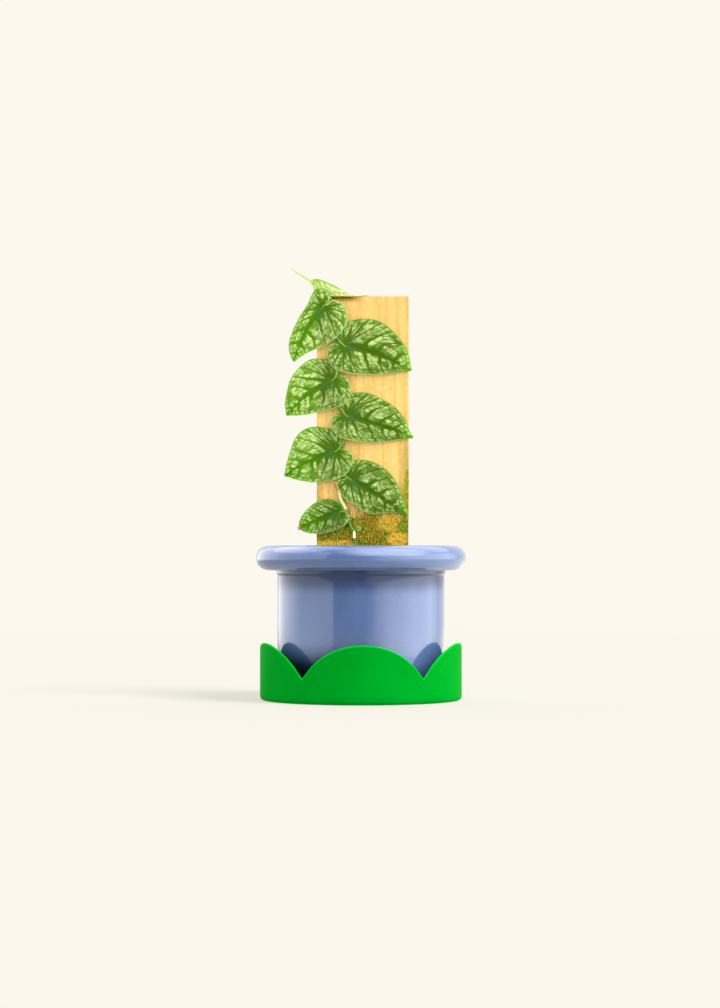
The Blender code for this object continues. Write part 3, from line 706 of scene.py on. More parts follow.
@dataclass(frozen=True)
class LeafSkin:
    """The skin of a leaf: dark along its veins and midrib, silvery in between, with a pale hem, brightened on
    the lower margins as a painted highlight.

    Lengths are in millimetres on the leaf. A leaf's sheet notes its vein rows in the map "veins" (vein
    number / VEIN_ROWS, share from midrib to margin), its flat place in "flat" (decimetres) and in "gaps"
    the millimetres from one vein to the next, to the midrib and to the margin. Its attribute "blush" says
    how red and how pale it is; the paleness is partly the leaf's own and partly painted light that
    brightens leaves which lie in less light.
    """

    name: str
    silver_top: Colour = (0.76, 0.90, 0.38)
    silver: Colour = (0.61, 0.79, 0.27)
    silver_low: Colour = (0.33, 0.51, 0.09)
    deep: Colour = (0.067, 0.146, 0.0)
    blot: Colour = (0.052, 0.145, 0.020)
    lime: Colour = (0.22, 0.55, 0.01)
    border: Colour = (0.085, 0.27, 0.002)
    pale: Colour = (0.86, 0.93, 0.48)
    glow_patch: Colour = (1.0, 0.92, 0.85)
    glow_vein: Colour = (0.30, 0.72, 0.0)
    glow_edge: Colour = (0.52, 0.98, 0.02)
    vein_base: float = 1.9
    vein_edge: float = 0.55
    rib_base: float = 2.9
    rib_tip: float = 0.6
    blotch: float = 9.5
    net: float = 0.8
    stripe: float = 0.8
    through: float = 0.38
    fine_edge: float = 1.0
    root: Point = (0.02, 0.24)
    core: float = 0.9
    back_glow: Colour = (0.97, 1.0, 0.80)
    back_share: float = 0.85
    middle: Point = (0.07, 0.0, 0.0)
    collar_gap: float = 4.1
    red: Colour = (1.0, 0.33, 0.19)
    glow_red: Colour = (0.9, 0.3, 0.15)
    sheen: Colour = (0.8, 1.0, 0.5)
    back_green: Colour = (0.22, 0.36, 0.09)
    back_vein: Colour = (0.30, 0.42, 0.13)
    back_net: Colour = (0.16, 0.28, 0.06)
    hem_glow: Colour = (0.6, 0.85, 0.25)

    def pattern(self, r: Recipe) -> SimpleNamespace:
        """Lays out the pattern's shares.

        Args:
            r: The recipe to lay it out in.

        Returns:
            Sockets by name: the pattern's shares and the coordinates that the skin's colours need.
        """
        number, w, _ = r.split(r.map("veins"))
        flat = r.map("flat")
        along, side, _ = r.split(flat)
        spread, rib, edge = r.noted("gaps")
        number = r.both(number, VEIN_ROWS)
        cloud = r.noise(flat, 26.0, 3.0, 0.6)
        fray = r.centred(r.noise(flat, 75.0, 3.0, 0.65))
        rows = r.vector(r.both(number, 4.2), r.both(w, 2.2))
        streak = r.centred(r.noise(rows, 1.0, 3.0, 0.6))
        gap = r.both(r.to_whole(number), spread)
        gap = r.plus(gap, r.both(fray, 1.2), r.both(streak, 2.6))
        half = r.ease(w, 0.0, 0.85, self.vein_base, self.vein_edge)
        vein = r.ease(gap, r.both(half, 0.75), r.plus(half, 0.45), 1.0, 0.0)
        ribwide = r.ease(along, -0.08, 0.55, self.rib_base * 1.1, self.rib_tip)
        ribgap = r.plus(rib, r.both(fray, 2.0), r.both(streak, self.rib_base * 1.5))
        midrib = r.ease(ribgap, ribwide, r.plus(ribwide, 0.8), 1.0, 0.0)
        core = r.out("VectorMath", {0: flat, 1: self.middle}, "Value", operation="DISTANCE")
        core = r.plus(r.both(core, 100.0), r.both(fray, 7.0), r.both(streak, 9.0))
        blotch = r.ease(core, self.blotch * 0.35, self.blotch, 1.0, 0.0)
        middle = r.plus(r.both(r.to_whole(r.plus(number, 0.5)), spread), r.both(streak, 2.0))
        broken = r.noise(r.vector(r.both(number, 1.5), r.both(w, 5.0)), 1.0, 2.0)
        fine = r.both(r.ease(r.size(middle), 0.2, 0.75, 1.0, 0.0), r.ease(broken, 0.38, 0.48), self.stripe)
        fine = r.most(fine, r.ease(streak, -0.07, -0.18, 0.0, self.stripe * 0.7))
        grid = r.vector(r.plus(r.both(number, 1.9), r.both(streak, 1.2)),
                        r.plus(r.both(w, 6.0), r.both(fray, 1.2)))
        crossing = r.web(grid, 1.0)
        lot = r.lot(grid)
        mesh = r.web(flat, 62.0)
        net = r.most(r.both(crossing, self.net), r.both(mesh, self.net * 0.4))
        root = r.noise(r.vector(r.both(number, 1.6), 7.7), 1.0, 1.0)
        root = r.ease(root, 0.3, 0.7, self.root[0], self.root[1])
        teeth = r.ease(r.plus(w, r.both(streak, 0.5)), root, r.plus(root, 0.05), 1.0, 0.0)
        edge = r.both(edge, 1.0 / self.fine_edge)
        hem = r.plus(edge, r.both(fray, 1.2))
        away = r.plus(hem, r.both(r.centred(cloud), 3.5))
        collar = r.ease(r.size(r.math("SUBTRACT", away, self.collar_gap)), 0.15, 0.75, 0.75, 0.0)
        spokes = r.both(r.to_whole(r.both(number, 2.0)), r.both(spread, 0.5))
        spokes = r.ease(r.plus(spokes, r.both(streak, 2.0)), 0.2, 0.8, 0.8, 0.0)
        spokes = r.both(spokes, r.ease(away, self.collar_gap, self.collar_gap - 0.9))
        border = r.ease(hem, 0.45, 1.1, 1.0, 0.0)
        rim = r.ease(edge, 0.3, 0.75, 1.0, 0.0)
        vein = r.most(vein, midrib)
        lines = r.most(vein, collar, spokes)
        bright = r.both(*(r.less(r.both(dark, share)) for dark, share in
                          ((blotch, 0.92), (fine, 0.85), (teeth, 0.95))),
                        r.ease(lot, 0.10, 0.24, 0.25, 1.0), r.ease(cloud, 0.22, 0.5, 0.8, 1.0))
        silver = r.both(r.less(lines), r.less(border), r.less(net), bright)
        return SimpleNamespace(
            silver=silver, vein=vein, net=net, rim=rim, blotch=blotch, flat=flat, along=along, side=side,
            rib=rib, edge=edge, lot=lot, lines=r.most(lines, border), border=border, fine=fine, streak=streak)

    def face(self) -> bpy.types.Material:
        """Makes the material of the upper side."""
        r = Recipe(self.name + "_face")
        p = self.pattern(r)
        grain = r.noise(p.flat, 900.0, 2.0, 0.7)
        # Paling: partly the leaf's own, partly painted light that brightens leaves which lie in less light.
        blush, paling_and_painted_light, _ = r.noted("blush")
        share = r.both(r.ease(p.streak, -0.14, 0.04), r.ease(p.lot, 0.1, 0.7, 0.5, 1.0))
        share = r.both(share, r.ease(p.edge, 1.5, 5.5, 0.65, 1.0))
        share = r.most(share, r.both(paling_and_painted_light, 0.55))
        core = r.both(r.ease(p.silver, 0.5, 0.9), r.ease(p.lot, 0.2, 0.6, 0.4, 1.0), self.core)
        core = r.most(core, r.both(paling_and_painted_light, 0.9))
        tone = r.mix(share, self.silver_low, r.mix(core, self.silver, self.silver_top))
        tone = r.mix(r.ease(grain, 0.4, 0.7, 0.0, 0.3), tone, self.silver_low)
        tip = r.ease(p.along, 0.50, 0.66)
        lime = r.both(r.ease(p.rib, 0.6, 0.25), r.ease(p.along, 0.13, 0.015, 0.0, 0.55))
        lime = r.most(lime, r.both(tip, r.less(p.silver), 0.5))
        # The pale hem: partly the margin's own pale edge, stronger on the lower margins as a painted
        # highlight.
        below = r.both(r.ease(p.side, 0.0, -0.04), r.ease(p.along, 0.62, 0.35, 0.35, 1.0))
        red = r.both(r.ease(blush, 0.45, 0.85), 0.9)
        colour = r.coats(
            self.deep, (p.blotch, self.blot), (p.border, self.border), (r.both(paling_and_painted_light, 0.08), self.lime),
            (p.silver, tone), (r.both(lime, 0.8), self.lime),
            (r.both(p.rim, r.ease(below, 0.0, 1.0, 0.12, 0.75)), self.pale), (red, self.red))
        height = r.plus(r.both(p.lines, -0.8), r.both(r.most(p.net, p.fine), -0.45))
        height = r.plus(height, r.both(grain, 0.12))
        normal = r.bump(height, 0.5, 0.0004)
        shine = r.ease(p.silver, 0.0, 1.0, 0.45, 0.55)
        shader = r.skin(colour, shine, normal, Specular_IOR_Level=0.18, Specular_Tint=self.sheen)
        glow = r.coats(self.glow_vein, (p.silver, self.glow_patch),
                       (r.ease(p.edge, 2.6, 0.9, 0.0, 0.9), self.glow_edge), (red, self.glow_red))
        return r.done(r.let_through(self.through, shader, glow, normal))

    def back(self) -> bpy.types.Material:
        """Makes the material of the underside, paler, with raised veins."""
        r = Recipe(self.name + "_back")
        p = self.pattern(r)
        colour = r.mix(p.vein, self.back_green, self.back_vein)
        colour = r.mix(r.both(p.net, 0.5), colour, self.back_net)
        height = r.plus(p.vein, r.both(p.net, 0.4))
        normal = r.bump(height, 0.6, 0.0004)
        shader = r.skin(colour, 0.5, normal, Specular_IOR_Level=0.25)
        return r.done(r.let_through(self.back_share, shader, self.back_glow))

    def hem(self) -> bpy.types.Material:
        """Makes the material of the blade's thin pale edge."""
        r = Recipe(self.name + "_hem")
        spot = r.noise(r.map("flat"), 120.0, 2.0)
        colour = r.mix(r.ease(spot, 0.35, 0.65), self.lime, self.pale)
        shader = r.skin(colour, 0.45, r.bump(spot, 0.2, 0.0002), Specular_IOR_Level=0.25)
        return r.done(r.let_through(0.4, shader, self.hem_glow))


@dataclass(frozen=True)
class StemSkin:
    """The skin of stem, petioles and rootlets, by what a rod notes in "bark"."""

    green: Colour = (0.055, 0.165, 0.006)
    cream: Colour = (1.0, 0.95, 0.48)
    brown: Colour = (0.20, 0.10, 0.03)
    lime: Colour = (0.33, 0.50, 0.015)
    green_light: Colour = (0.08, 0.24, 0.03)
    brown_light: Colour = (0.36, 0.22, 0.09)
    dots: Colour = (0.45, 0.42, 0.2)

    def material(self) -> bpy.types.Material:
        """Makes the material."""
        r = Recipe("stem_skin")
        here = r.here()
        pale, brown, lime = r.noted("bark")
        stripe = r.noise(here, (900.0, 900.0, 90.0), 3.0, 0.6)
        dots = r.ease(r.cells(here, 700.0), 0.25, 0.1)
        colour = r.coats(
            self.green, (r.ease(stripe, 0.3, 0.7), self.green_light),
            (r.plus(pale, r.ease(stripe, 0.3, 0.7, -0.12, 0.12), clamp=True), self.cream), (lime, self.lime),
            (brown, r.mix(stripe, self.brown, self.brown_light)), (r.both(dots, 0.25), self.dots))
        normal = r.bump(r.plus(stripe, dots), 0.4, 0.0003)
        return r.done(r.skin(colour, r.ease(stripe, 0.3, 0.7, 0.42, 0.55), normal, Specular_IOR_Level=0.35))


@dataclass(frozen=True)
class MossTuft:
    """Short moss on damp wood."""

    dark: Colour = (0.070, 0.085, 0.001)
    light: Colour = (0.20, 0.21, 0.006)
    dry: Colour = (0.36, 0.31, 0.02)

    def material(self) -> bpy.types.Material:
        """Makes the material."""
        r = Recipe("moss_tuft")
        here = r.here()
        patch = r.noise(here, 130.0, 3.0)
        speck = r.noise(here, 1500.0, 2.0)
        colour = r.mix(r.ease(patch, 0.35, 0.65), self.dark, self.light)
        colour = r.mix(r.ease(speck, 0.55, 0.75, 0.0, 0.6), colour, self.dry)
        return r.done(r.skin(colour, 0.85, r.bump(speck, 0.5, 0.0003), Specular_IOR_Level=0.05))


# Tray and pot


def at_angle(angle: float, radius: float, height: float) -> Vector:
    """A place at an angle from the front, in metres."""
    return Vector((math.sin(angle) * radius, -math.cos(angle) * radius, height)) * MM


@dataclass
class ScallopedTray:
    """The sheet tray: a flat floor, a rounded corner and a wall cut into scallops."""

    radius: float = 97.8
    sheet: float = 1.5
    corner: float = 4.0
    peak: float = 56.2
    valley: float = 22.5
    scallops: int = 5
    steps: int = 64
    turn: float = 0.021
    fillet: float = 1.8
    lip: float = 0.72
    corner_rings: int = 6
    wall_rings: tuple[float, ...] = (0.12, 0.3, 0.5, 0.7, 0.86, 0.96, 1.0)
    far_below: float = 50.0

    def angles(self) -> np.ndarray:
        """Angles from the front, closer together near the valleys."""
        half = math.pi / self.scallops
        t = 2.0 * np.arange(self.steps) / self.steps - 1.0
        squeezed = np.copysign(1.0 - (1.0 - np.abs(t)) ** 1.35, t)
        return np.concatenate([self.turn + 2 * half * k + half * squeezed for k in range(self.scallops)])

    def top(self, angle: np.ndarray) -> np.ndarray:
        """Height of the wall at angles from the front: circular arcs that meet in filleted valleys."""
        half = math.pi / self.scallops
        off = (angle - self.turn + half) % (2 * half) - half
        chord = self.radius * half
        rise = self.peak - self.valley
        bend = (chord ** 2 + rise ** 2) / (2 * rise)
        arc = np.sqrt(bend ** 2 - (self.radius * off) ** 2) - (bend - rise)
        left = chord - np.abs(self.radius * off)
        return self.valley + arc + self.fillet * np.exp(-left / self.fillet)

    def ring(self, mesh: bpy.types.Mesh, radius: float, share: float, lift: float) -> None:
        """Lays the selected points of the tray on one ring.

        Args:
            mesh: The tray's mesh, out of edit mode.
            radius: The ring's radius.
            share: How far up the wall the ring is, from the corner to the scalloped edge.
            lift: The ring's height where share is 0.
        """
        for vert in mesh.vertices:
            if vert.select:
                angle = math.atan2(vert.co.x, -vert.co.y)
                tall = float(self.top(np.array(angle)))
                vert.co = at_angle(angle, radius, lift + (tall - self.corner) * share)

    def build(self) -> bpy.types.Object:
        """Draws the floor's circle up into the wall, thickens it inwards and rounds its edges.

        The attribute "below" notes how far each point of the wall is below the scalloped edge.
        """
        angles = self.angles()
        inner = self.radius - self.corner
        deselect()
        bpy.ops.mesh.primitive_circle_add(vertices=len(angles), radius=inner * MM, fill_type="NGON")
        tray = added("tray")
        for vert, angle in zip(tray.data.vertices, angles):
            vert.co = at_angle(angle, inner, 0.0)
        turns = [math.pi / 2 * k / self.corner_rings for k in range(1, self.corner_rings + 1)]
        rings = [(inner + self.corner * math.sin(turn), 0.0, self.corner * (1 - math.cos(turn)))
                 for turn in turns]
        rings += [(self.radius, share, self.corner) for share in self.wall_rings]
        with editing(tray):
            bpy.ops.mesh.select_mode(type="EDGE")
            bpy.ops.mesh.region_to_loop()
            for radius, share, lift in rings:
                bpy.ops.mesh.extrude_edges_move()
                bpy.ops.object.mode_set(mode="OBJECT")
                self.ring(tray.data, radius, share, lift)
                bpy.ops.object.mode_set(mode="EDIT")
        face_towards(tray, Vector((0, 0, -1)))
        apply_modifier(tray, "SOLIDIFY", thickness=self.sheet * MM, offset=-1.0, use_even_offset=True)
        apply_modifier(tray, "BEVEL", width=self.lip * MM, segments=4, limit_method="ANGLE",
                       angle_limit=math.radians(50))
        smooth(tray, 35)
        spots = np.array([vert.co[:] for vert in tray.data.vertices]) / MM
        # The enamel paints a highlight along the scalloped edge by this distance.
        below = self.top(np.arctan2(spots[:, 0], -spots[:, 1])) - spots[:, 2]
        below[np.hypot(spots[:, 0], spots[:, 1]) < self.radius - 2 * self.sheet] = self.far_below
        note(tray, "below", np.repeat(below, 3))
        dress(tray, GreenEnamel().material())
        return settle(tray, "tray_green", "scalloped_tray")


@dataclass
class GlazedPot:
    """The pot: a straight cylinder with a thick round rim, turned in one piece."""

    body: float = 81.0
    wall: float = 6.4
    floor: float = 8.0
    foot: float = 1.8
    drain: float = 6.0
    rim_centre: float = 90.2
    rim_half_width: float = 11.7
    rim_half_height: float = 12.05
    top: float = 149.8
    recess: float = 2.5
    steps: int = 224

    def rim(self, first: float, sweep: float, steps: int, count: int) -> list[Point]:
        """Points of the rim's oval.

        Args:
            first: The angle of the first point, in degrees.
            sweep: The angle that all the steps together turn through, downwards.
            steps: How many steps the sweep has.
            count: How many points to take.

        Returns:
            The points as (radius, height).
        """
        turns = [math.radians(first - sweep * k / steps) for k in range(count)]
        centre = self.top - self.rim_half_height
        return [(self.rim_centre + self.rim_half_width * math.cos(turn),
                 centre + self.rim_half_height * math.sin(turn)) for turn in turns]

    def section(self) -> list[Point]:
        """The closed section as (radius, height), down the outside and back up the inside."""
        body, foot, drain, inner = self.body, self.foot, self.drain, self.body - self.wall
        under, floor = foot + self.recess, foot + self.floor
        outside = [(body + 1.2, 128.3), (body + 0.95, 127.6), (body + 0.9, 126.8), (body + 0.9, 122.6),
                   (body + 0.8, 121.9), (body + 0.45, 121.6), (body + 0.1, 121.3), (body, 120.6),
                   (body, 110.0), (body, 80.0), (body, 50.0), (body, 20.0), (body, foot + 4.0),
                   (body - 0.2, foot + 2.7), (body - 1.0, foot + 1.3), (body - 2.2, foot + 0.4)]
        beneath = [(body - 4.0, foot), (72.6, foot), (71.4, foot + 0.6), (70.6, foot + 1.8), (69.6, under),
                   (drain + 0.6, under), (drain, under + 0.6), (drain, floor - 0.6)]
        inside = [(drain + 0.6, floor), (inner - 6.0, floor), (inner - 3.4, floor + 0.7),
                  (inner - 1.8, floor + 1.8), (inner - 0.5, floor + 3.8), (inner, floor + 6.0),
                  (inner, 60.0), (inner, 100.0), (inner, 126.0), (inner + 0.3, 130.0), (inner + 1.2, 134.0)]
        return self.rim(90, 225, 36, 37) + outside + beneath + inside + self.rim(165, 75, 7, 7)

    def build(self) -> bpy.types.Object:
        """Lays a circle on the section and spins it round the axis."""
        section = self.section()
        deselect()
        bpy.ops.mesh.primitive_circle_add(vertices=len(section), radius=0.05, fill_type="NOTHING")
        pot = added("glazed_pot")
        for vert, (radius, height) in zip(pot.data.vertices, section):
            vert.co = Vector((radius, 0.0, height)) * MM
        with editing(pot):
            bpy.ops.mesh.spin(steps=self.steps, angle=2 * math.pi, center=(0, 0, 0), axis=(0, 0, 1))
        close(pot, 60)
        dress(pot, LavenderGlaze().material())
        return settle(pot, "lavender_glaze", "pot")


@dataclass
class PottingSoil:
    """The soil that fills the pot, with crumbs, perlite and bark chips on its uneven top."""

    top: float = 129.0
    radius: float = 74.3
    floor: float = 10.1
    board: tuple[float, float, float, float] = (-43.3, 46.8, -0.4, 19.4)
    edge_clear: float = 3.0
    stem_clear: float = 5.5
    sides: int = 168
    rings: int = 56
    crumbs: int = 420
    perlite: int = 70
    chips: int = 80
    draw: random.Random = field(default_factory=lambda: random.Random(5))

    def level(self, x: float, y: float) -> float:
        """Height of the soil's top at a place."""
        share = math.hypot(x, y) / self.radius
        lump = noise.noise(Vector((x, y, 0.0)) * 0.07) + 0.5 * noise.noise(Vector((x, y, 9.0)) * 0.19)
        grit = 0.9 * noise.noise(Vector((x, y, 3.0)) * 0.5) + 0.6 * noise.noise(Vector((x, y, 5.0)) * 1.1)
        return self.top + 1.2 * (1 - share ** 2) + 1.4 * lump + grit

    def bed(self) -> bpy.types.Object:
        """The filled soil as one turned body with an uneven top."""
        section = [(self.radius * k / self.rings, None) for k in range(self.rings + 1)]
        section += [(self.radius, 118.0), (self.radius, 60.0), (self.radius, self.floor + 6.2),
                    (self.radius - 1.9, self.floor + 1.9), (self.radius - 6.2, self.floor), (0.0, self.floor)]
        spots = np.zeros((self.sides + 1, len(section), 3))
        for i, angle in enumerate(np.linspace(0, 2 * math.pi, self.sides + 1)):
            for j, (radius, height) in enumerate(section):
                x, y = radius * math.cos(angle), radius * math.sin(angle)
                spots[i, j] = (x, y, self.level(x, y) if height is None else height)
        bed = close(lay_sheet("soil_bed", spots).piece, 70)
        dress(bed, PottingMix().material())
        return settle(bed, "potting_soil", "soil")

    def free_spot(self) -> tuple[float, float]:
        """A random place on the soil, clear of the board, the stem and the pot's wall."""
        left, right, front, back = self.board
        while True:
            reach = (self.radius - self.edge_clear) * math.sqrt(self.draw.random())
            turn = self.draw.uniform(0, 2 * math.pi)
            x, y = reach * math.cos(turn), reach * math.sin(turn)
            by_board = (left - self.edge_clear < x < right + self.edge_clear
                        and front - self.edge_clear < y < back + self.edge_clear)
            if not by_board and math.hypot(x + 4.0, y + 2.0) > self.stem_clear:
                return x, y

    def scatter(self, name: str, grain: Grain, count: int, size: tuple[float, float], flat: float) -> None:
        """Copies one lumpy grain over the soil.

        Args:
            name: The piece's name.
            grain: What the grains are.
            count: How many there are.
            size: Smallest and largest radius.
            flat: A grain's thickness as a share of its width.
        """
        deselect()
        bpy.ops.mesh.primitive_ico_sphere_add(subdivisions=2, radius=1.0)
        seed = bpy.context.object
        shape = [vert.co.copy() for vert in seed.data.vertices]
        grains = []
        for k in range(count):
            grain_piece = link(name, seed.data.copy())
            x, y = self.free_spot()
            radius = self.draw.uniform(*size)
            long = self.draw.uniform(1.0, 1.5)
            turn = self.draw.uniform(0, math.pi)
            tip = self.draw.uniform(-0.3, 0.3)
            base = self.level(x, y) + radius * flat * 0.45
            for vert, co in zip(grain_piece.data.vertices, shape):
                bulge = radius * (1.0 + 0.32 * noise.noise(co * 1.9 + Vector((k, 0, 0))))
                spot = Vector((co.x * long, co.y, co.z * flat)) * bulge
                u = spot.x * math.cos(turn) - spot.y * math.sin(turn)
                v = spot.x * math.sin(turn) + spot.y * math.cos(turn)
                vert.co = Vector((x + u, y + v, base + spot.z + tip * u)) * MM
            grains.append(grain_piece)
        bpy.data.objects.remove(seed, do_unlink=True)
        piece = join(grains)
        piece.name = name
        smooth(piece, 50)
        dress(piece, PottingMix(grain).material())
        settle(piece, "potting_soil")

    def build(self) -> None:
        """Makes the soil and what lies on it."""
        self.bed()
        self.scatter("soil_crumbs", Grain.EARTH, self.crumbs, (0.7, 2.4), 0.8)
        self.scatter("soil_perlite", Grain.PERLITE, self.perlite, (0.7, 1.7), 0.85)
        self.scatter("soil_bark", Grain.BARK, self.chips, (1.4, 3.4), 0.3)


# Board and stem


@dataclass
class Board:
    """The sawn board, whose solid stays, and the moss that grows low on it."""

    tufts: int = 900
    leaflets: int = 5
    across: Point = (-42.0, 45.6)
    upwards: Point = (131.0, 262.0)
    draw: random.Random = field(default_factory=lambda: random.Random(23))

    def dampness(self, x: float, z: float) -> float:
        """How mossy the front is at a place in millimetres, 0 to 1."""
        cloud = noise.noise(Vector((x * 0.06, 2.0, z * 0.03)))
        low = (180.0 + 14.0 * cloud - z) / 10.0
        side = min((x - 38.0 + 8 * cloud) / 6.0, (232.0 - z) / 30.0)
        return max(0.0, min(1.0, max(low, side)))

    def moss(self) -> None:
        """Sets tufts of a few leaflets on the damp parts of the front."""
        deselect()
        bpy.ops.mesh.primitive_cone_add(vertices=3, radius1=1.0, radius2=0.0, depth=1.0,
                                        end_fill_type="NOTHING")
        seed = bpy.context.object
        shape = [vert.co.copy() for vert in seed.data.vertices]
        faces = [tuple(poly.vertices) for poly in seed.data.polygons]
        bpy.data.objects.remove(seed, do_unlink=True)
        points, sides = [], []
        placed = 0
        while placed < self.tufts:
            x = self.draw.uniform(*self.across)
            z = self.draw.uniform(*self.upwards)
            if self.draw.random() > self.dampness(x, z) * 0.9:
                continue
            placed += 1
            for _ in range(self.leaflets):
                wide = self.draw.uniform(0.10, 0.2)
                tall = self.draw.uniform(0.35, 0.8)
                lean = Vector((self.draw.uniform(-0.5, 0.5), -1.0, self.draw.uniform(-0.7, 0.3)))
                lean.normalize()
                foot = Vector((x + self.draw.uniform(-0.5, 0.5), 0.1, z + self.draw.uniform(-0.8, 0.8)))
                across = lean.cross(Vector((0, 0, 1))).normalized()
                up = across.cross(lean)
                first = len(points)
                for co in shape:
                    spot = foot + across * co.x * wide + up * co.y * wide + lean * (co.z + 0.5) * tall
                    points.append(spot * MM)
                sides += [tuple(first + k for k in face) for face in faces]
        mesh = bpy.data.meshes.new("board_moss")
        mesh.from_pydata(points, [], sides)
        piece = link("board_moss", mesh)
        dress(piece, MossTuft().material())
        settle(piece, "pale_wood")

    def build(self) -> bpy.types.Object:
        """Dresses the board, adds its moss and returns the board."""
        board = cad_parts["board"]
        dress(board, SawnWood().material())
        LOG.info("%s: carried over", board.name)
        self.moss()
        return board


# In millimetres: the stem's line as (across, height) at one depth, and the shoot's as (x, y, z)
STEM_RADIUS = 1.6
STEM_DEPTH = -2.1
STEM_LINE = (
    (-2.0, 98.0), (-3.2, 118.0), (-4.3, 138.0), (-5.0, 150.0), (-6.4, 157.0), (-6.8, 163.0), (-9.0, 165.8),
    (-11.5, 172.0), (-14.0, 182.0), (-16.5, 188.0), (-19.8, 197.0), (-20.4, 208.0), (-19.3, 219.0),
    (-19.6, 233.0), (-17.6, 247.0), (-18.4, 265.0), (-19.8, 282.0), (-22.4, 300.0), (-21.7, 317.0),
    (-22.8, 334.0), (-24.6, 350.5), (-26.4, 370.0), (-29.5, 388.5),
)
SHOOT_PATH = (
    (-33.0, -1.6, 392.4), (-37.0, 1.2, 393.6), (-41.5, 4.6, 396.0), (-46.0, 7.2, 401.5),
    (-49.4, 8.0, 406.6), (-55.0, 8.2, 410.8), (-61.5, 8.4, 414.4), (-68.0, 8.6, 418.8),
)
NODE_HEIGHTS = (182.0, 219.0, 247.0, 282.0, 317.0, 350.5, 388.5)
NECK = (156.4, 163.4)
PALE_BANDS = (NECK, (184.2, 214.0), (223.0, 243.0), (251.0, 277.0), (286.0, 312.0), (321.0, 346.0),
              (355.0, 383.0))


def stem_x(z: np.ndarray) -> np.ndarray:
    """Where the stem runs at a height."""
    across, heights = zip(*STEM_LINE)
    return np.interp(z, heights, across)


@dataclass
class ClimbingStem:
    """The climbing stem with its nodes, the scars round them, the rootlets and the thin shoot tip."""

    radius: float = STEM_RADIUS
    rootlet: float = 0.55
    per_node: int = 3
    below_node: float = 5.5
    apart: float = 3.2
    steps: int = 420
    taper: float = 14.0
    about_length: float = 96.0
    draw: random.Random = field(default_factory=lambda: random.Random(11))

    def paleness(self, z: float) -> float:
        """How cream the stem is at a height: the middles of the stretches between nodes are pale."""
        return max(max(0.0, min(1.0, (z - low) * 1.2, (high - z) * 1.2)) for low, high in PALE_BANDS)

    def trunk(self) -> bpy.types.Object:
        """The stem itself, which swells at its nodes, has a scar under each and thins out into the shoot."""
        line = [(x, STEM_DEPTH, z) for x, z in STEM_LINE]
        path = even_curve([*line, *SHOOT_PATH], self.steps)
        count = len(path)
        radii = np.empty(count)
        bark = np.zeros((count, 3))
        for k, (x, y, z) in enumerate(path):
            swell = sum(math.exp(-((z - h) / 2.6) ** 2) for h in NODE_HEIGHTS)
            scar = sum(math.exp(-((z - h + 2.2) / 0.5) ** 2) for h in NODE_HEIGHTS)
            size = self.radius * (0.92 + 0.12 * min(swell, 1.0) + 0.03 * scar)
            lime = 0.0
            if z > NODE_HEIGHTS[-1]:
                left = (count - 1 - k) * self.about_length / self.steps / self.taper
                size = min(size, 0.42 + 0.75 * left ** 0.8)
                lime = min(1.0, (z - NODE_HEIGHTS[-1]) / 6.0)
            thick = math.exp(-((z - 190.0) / 7.0) ** 2)
            radii[k] = size * (0.96 if NECK[0] < z < NECK[1] else 1.0 + 0.16 * thick)
            bark[k] = (self.paleness(z), 0.7 * min(scar, 1.0), lime)
        return rod("stem_and_rootlets", path, radii, 20, *np.pad(bark, ((1, 1), (0, 0)), "edge").T)

    def rootlets(self) -> list[bpy.types.Object]:
        """The short aerial rootlets that hold the stem to the board."""
        made = []
        share = np.linspace(0, 1, 23)
        for height in NODE_HEIGHTS[1:-1]:
            for k in range(self.per_node):
                start = height - self.below_node - self.apart * k
                side = 1 if k % 2 else -1
                reach = self.draw.uniform(4.0, 6.5)
                drop = self.draw.uniform(-2.0, 2.0)
                x = float(stem_x(start))
                level = -0.3 - self.rootlet - 0.1
                route = [(x, -1.9, start), (x + side * 2.6, level - 0.3, start + 0.2 * drop),
                         (x + side * reach * 0.6, level, start + 0.5 * drop),
                         (x + side * reach, level, start + drop)]
                spots = even_curve(route, len(share) - 1)
                wobble = [0.18 * noise.noise(Vector((n * 0.6, height, k))) for n in range(len(share))]
                spots[:, 2] += np.array(wobble)
                sizes = self.rootlet * (1.0 - 0.5 * share ** 1.5)
                made.append(rod("rootlet", spots, sizes, 8, 0.35, np.linspace(0.2, 1.0, len(share) + 2), 0.0))
        return made

    def build(self) -> bpy.types.Object:
        """Makes the stem and fuses its rootlets to it."""
        stem = join([self.trunk(), *self.rootlets()])
        dress(stem, StemSkin().material())
        return settle(stem, "stem_green", "stem")


# Leaves


def soft(share: np.ndarray) -> np.ndarray:
    """A smooth step over a share from 0 to 1."""
    return share * share * (3 - 2 * share)


def line_at(where: np.ndarray, points: tuple) -> np.ndarray:
    """The second number of a line through points, where the first one is given."""
    return np.interp(where, *zip(*points))


@dataclass
class Half:
    """One half of a blade, flat: arrays of (column along the margin, row from midrib to margin)."""

    flat: np.ndarray
    w: np.ndarray
    number: np.ndarray
    gaps: np.ndarray


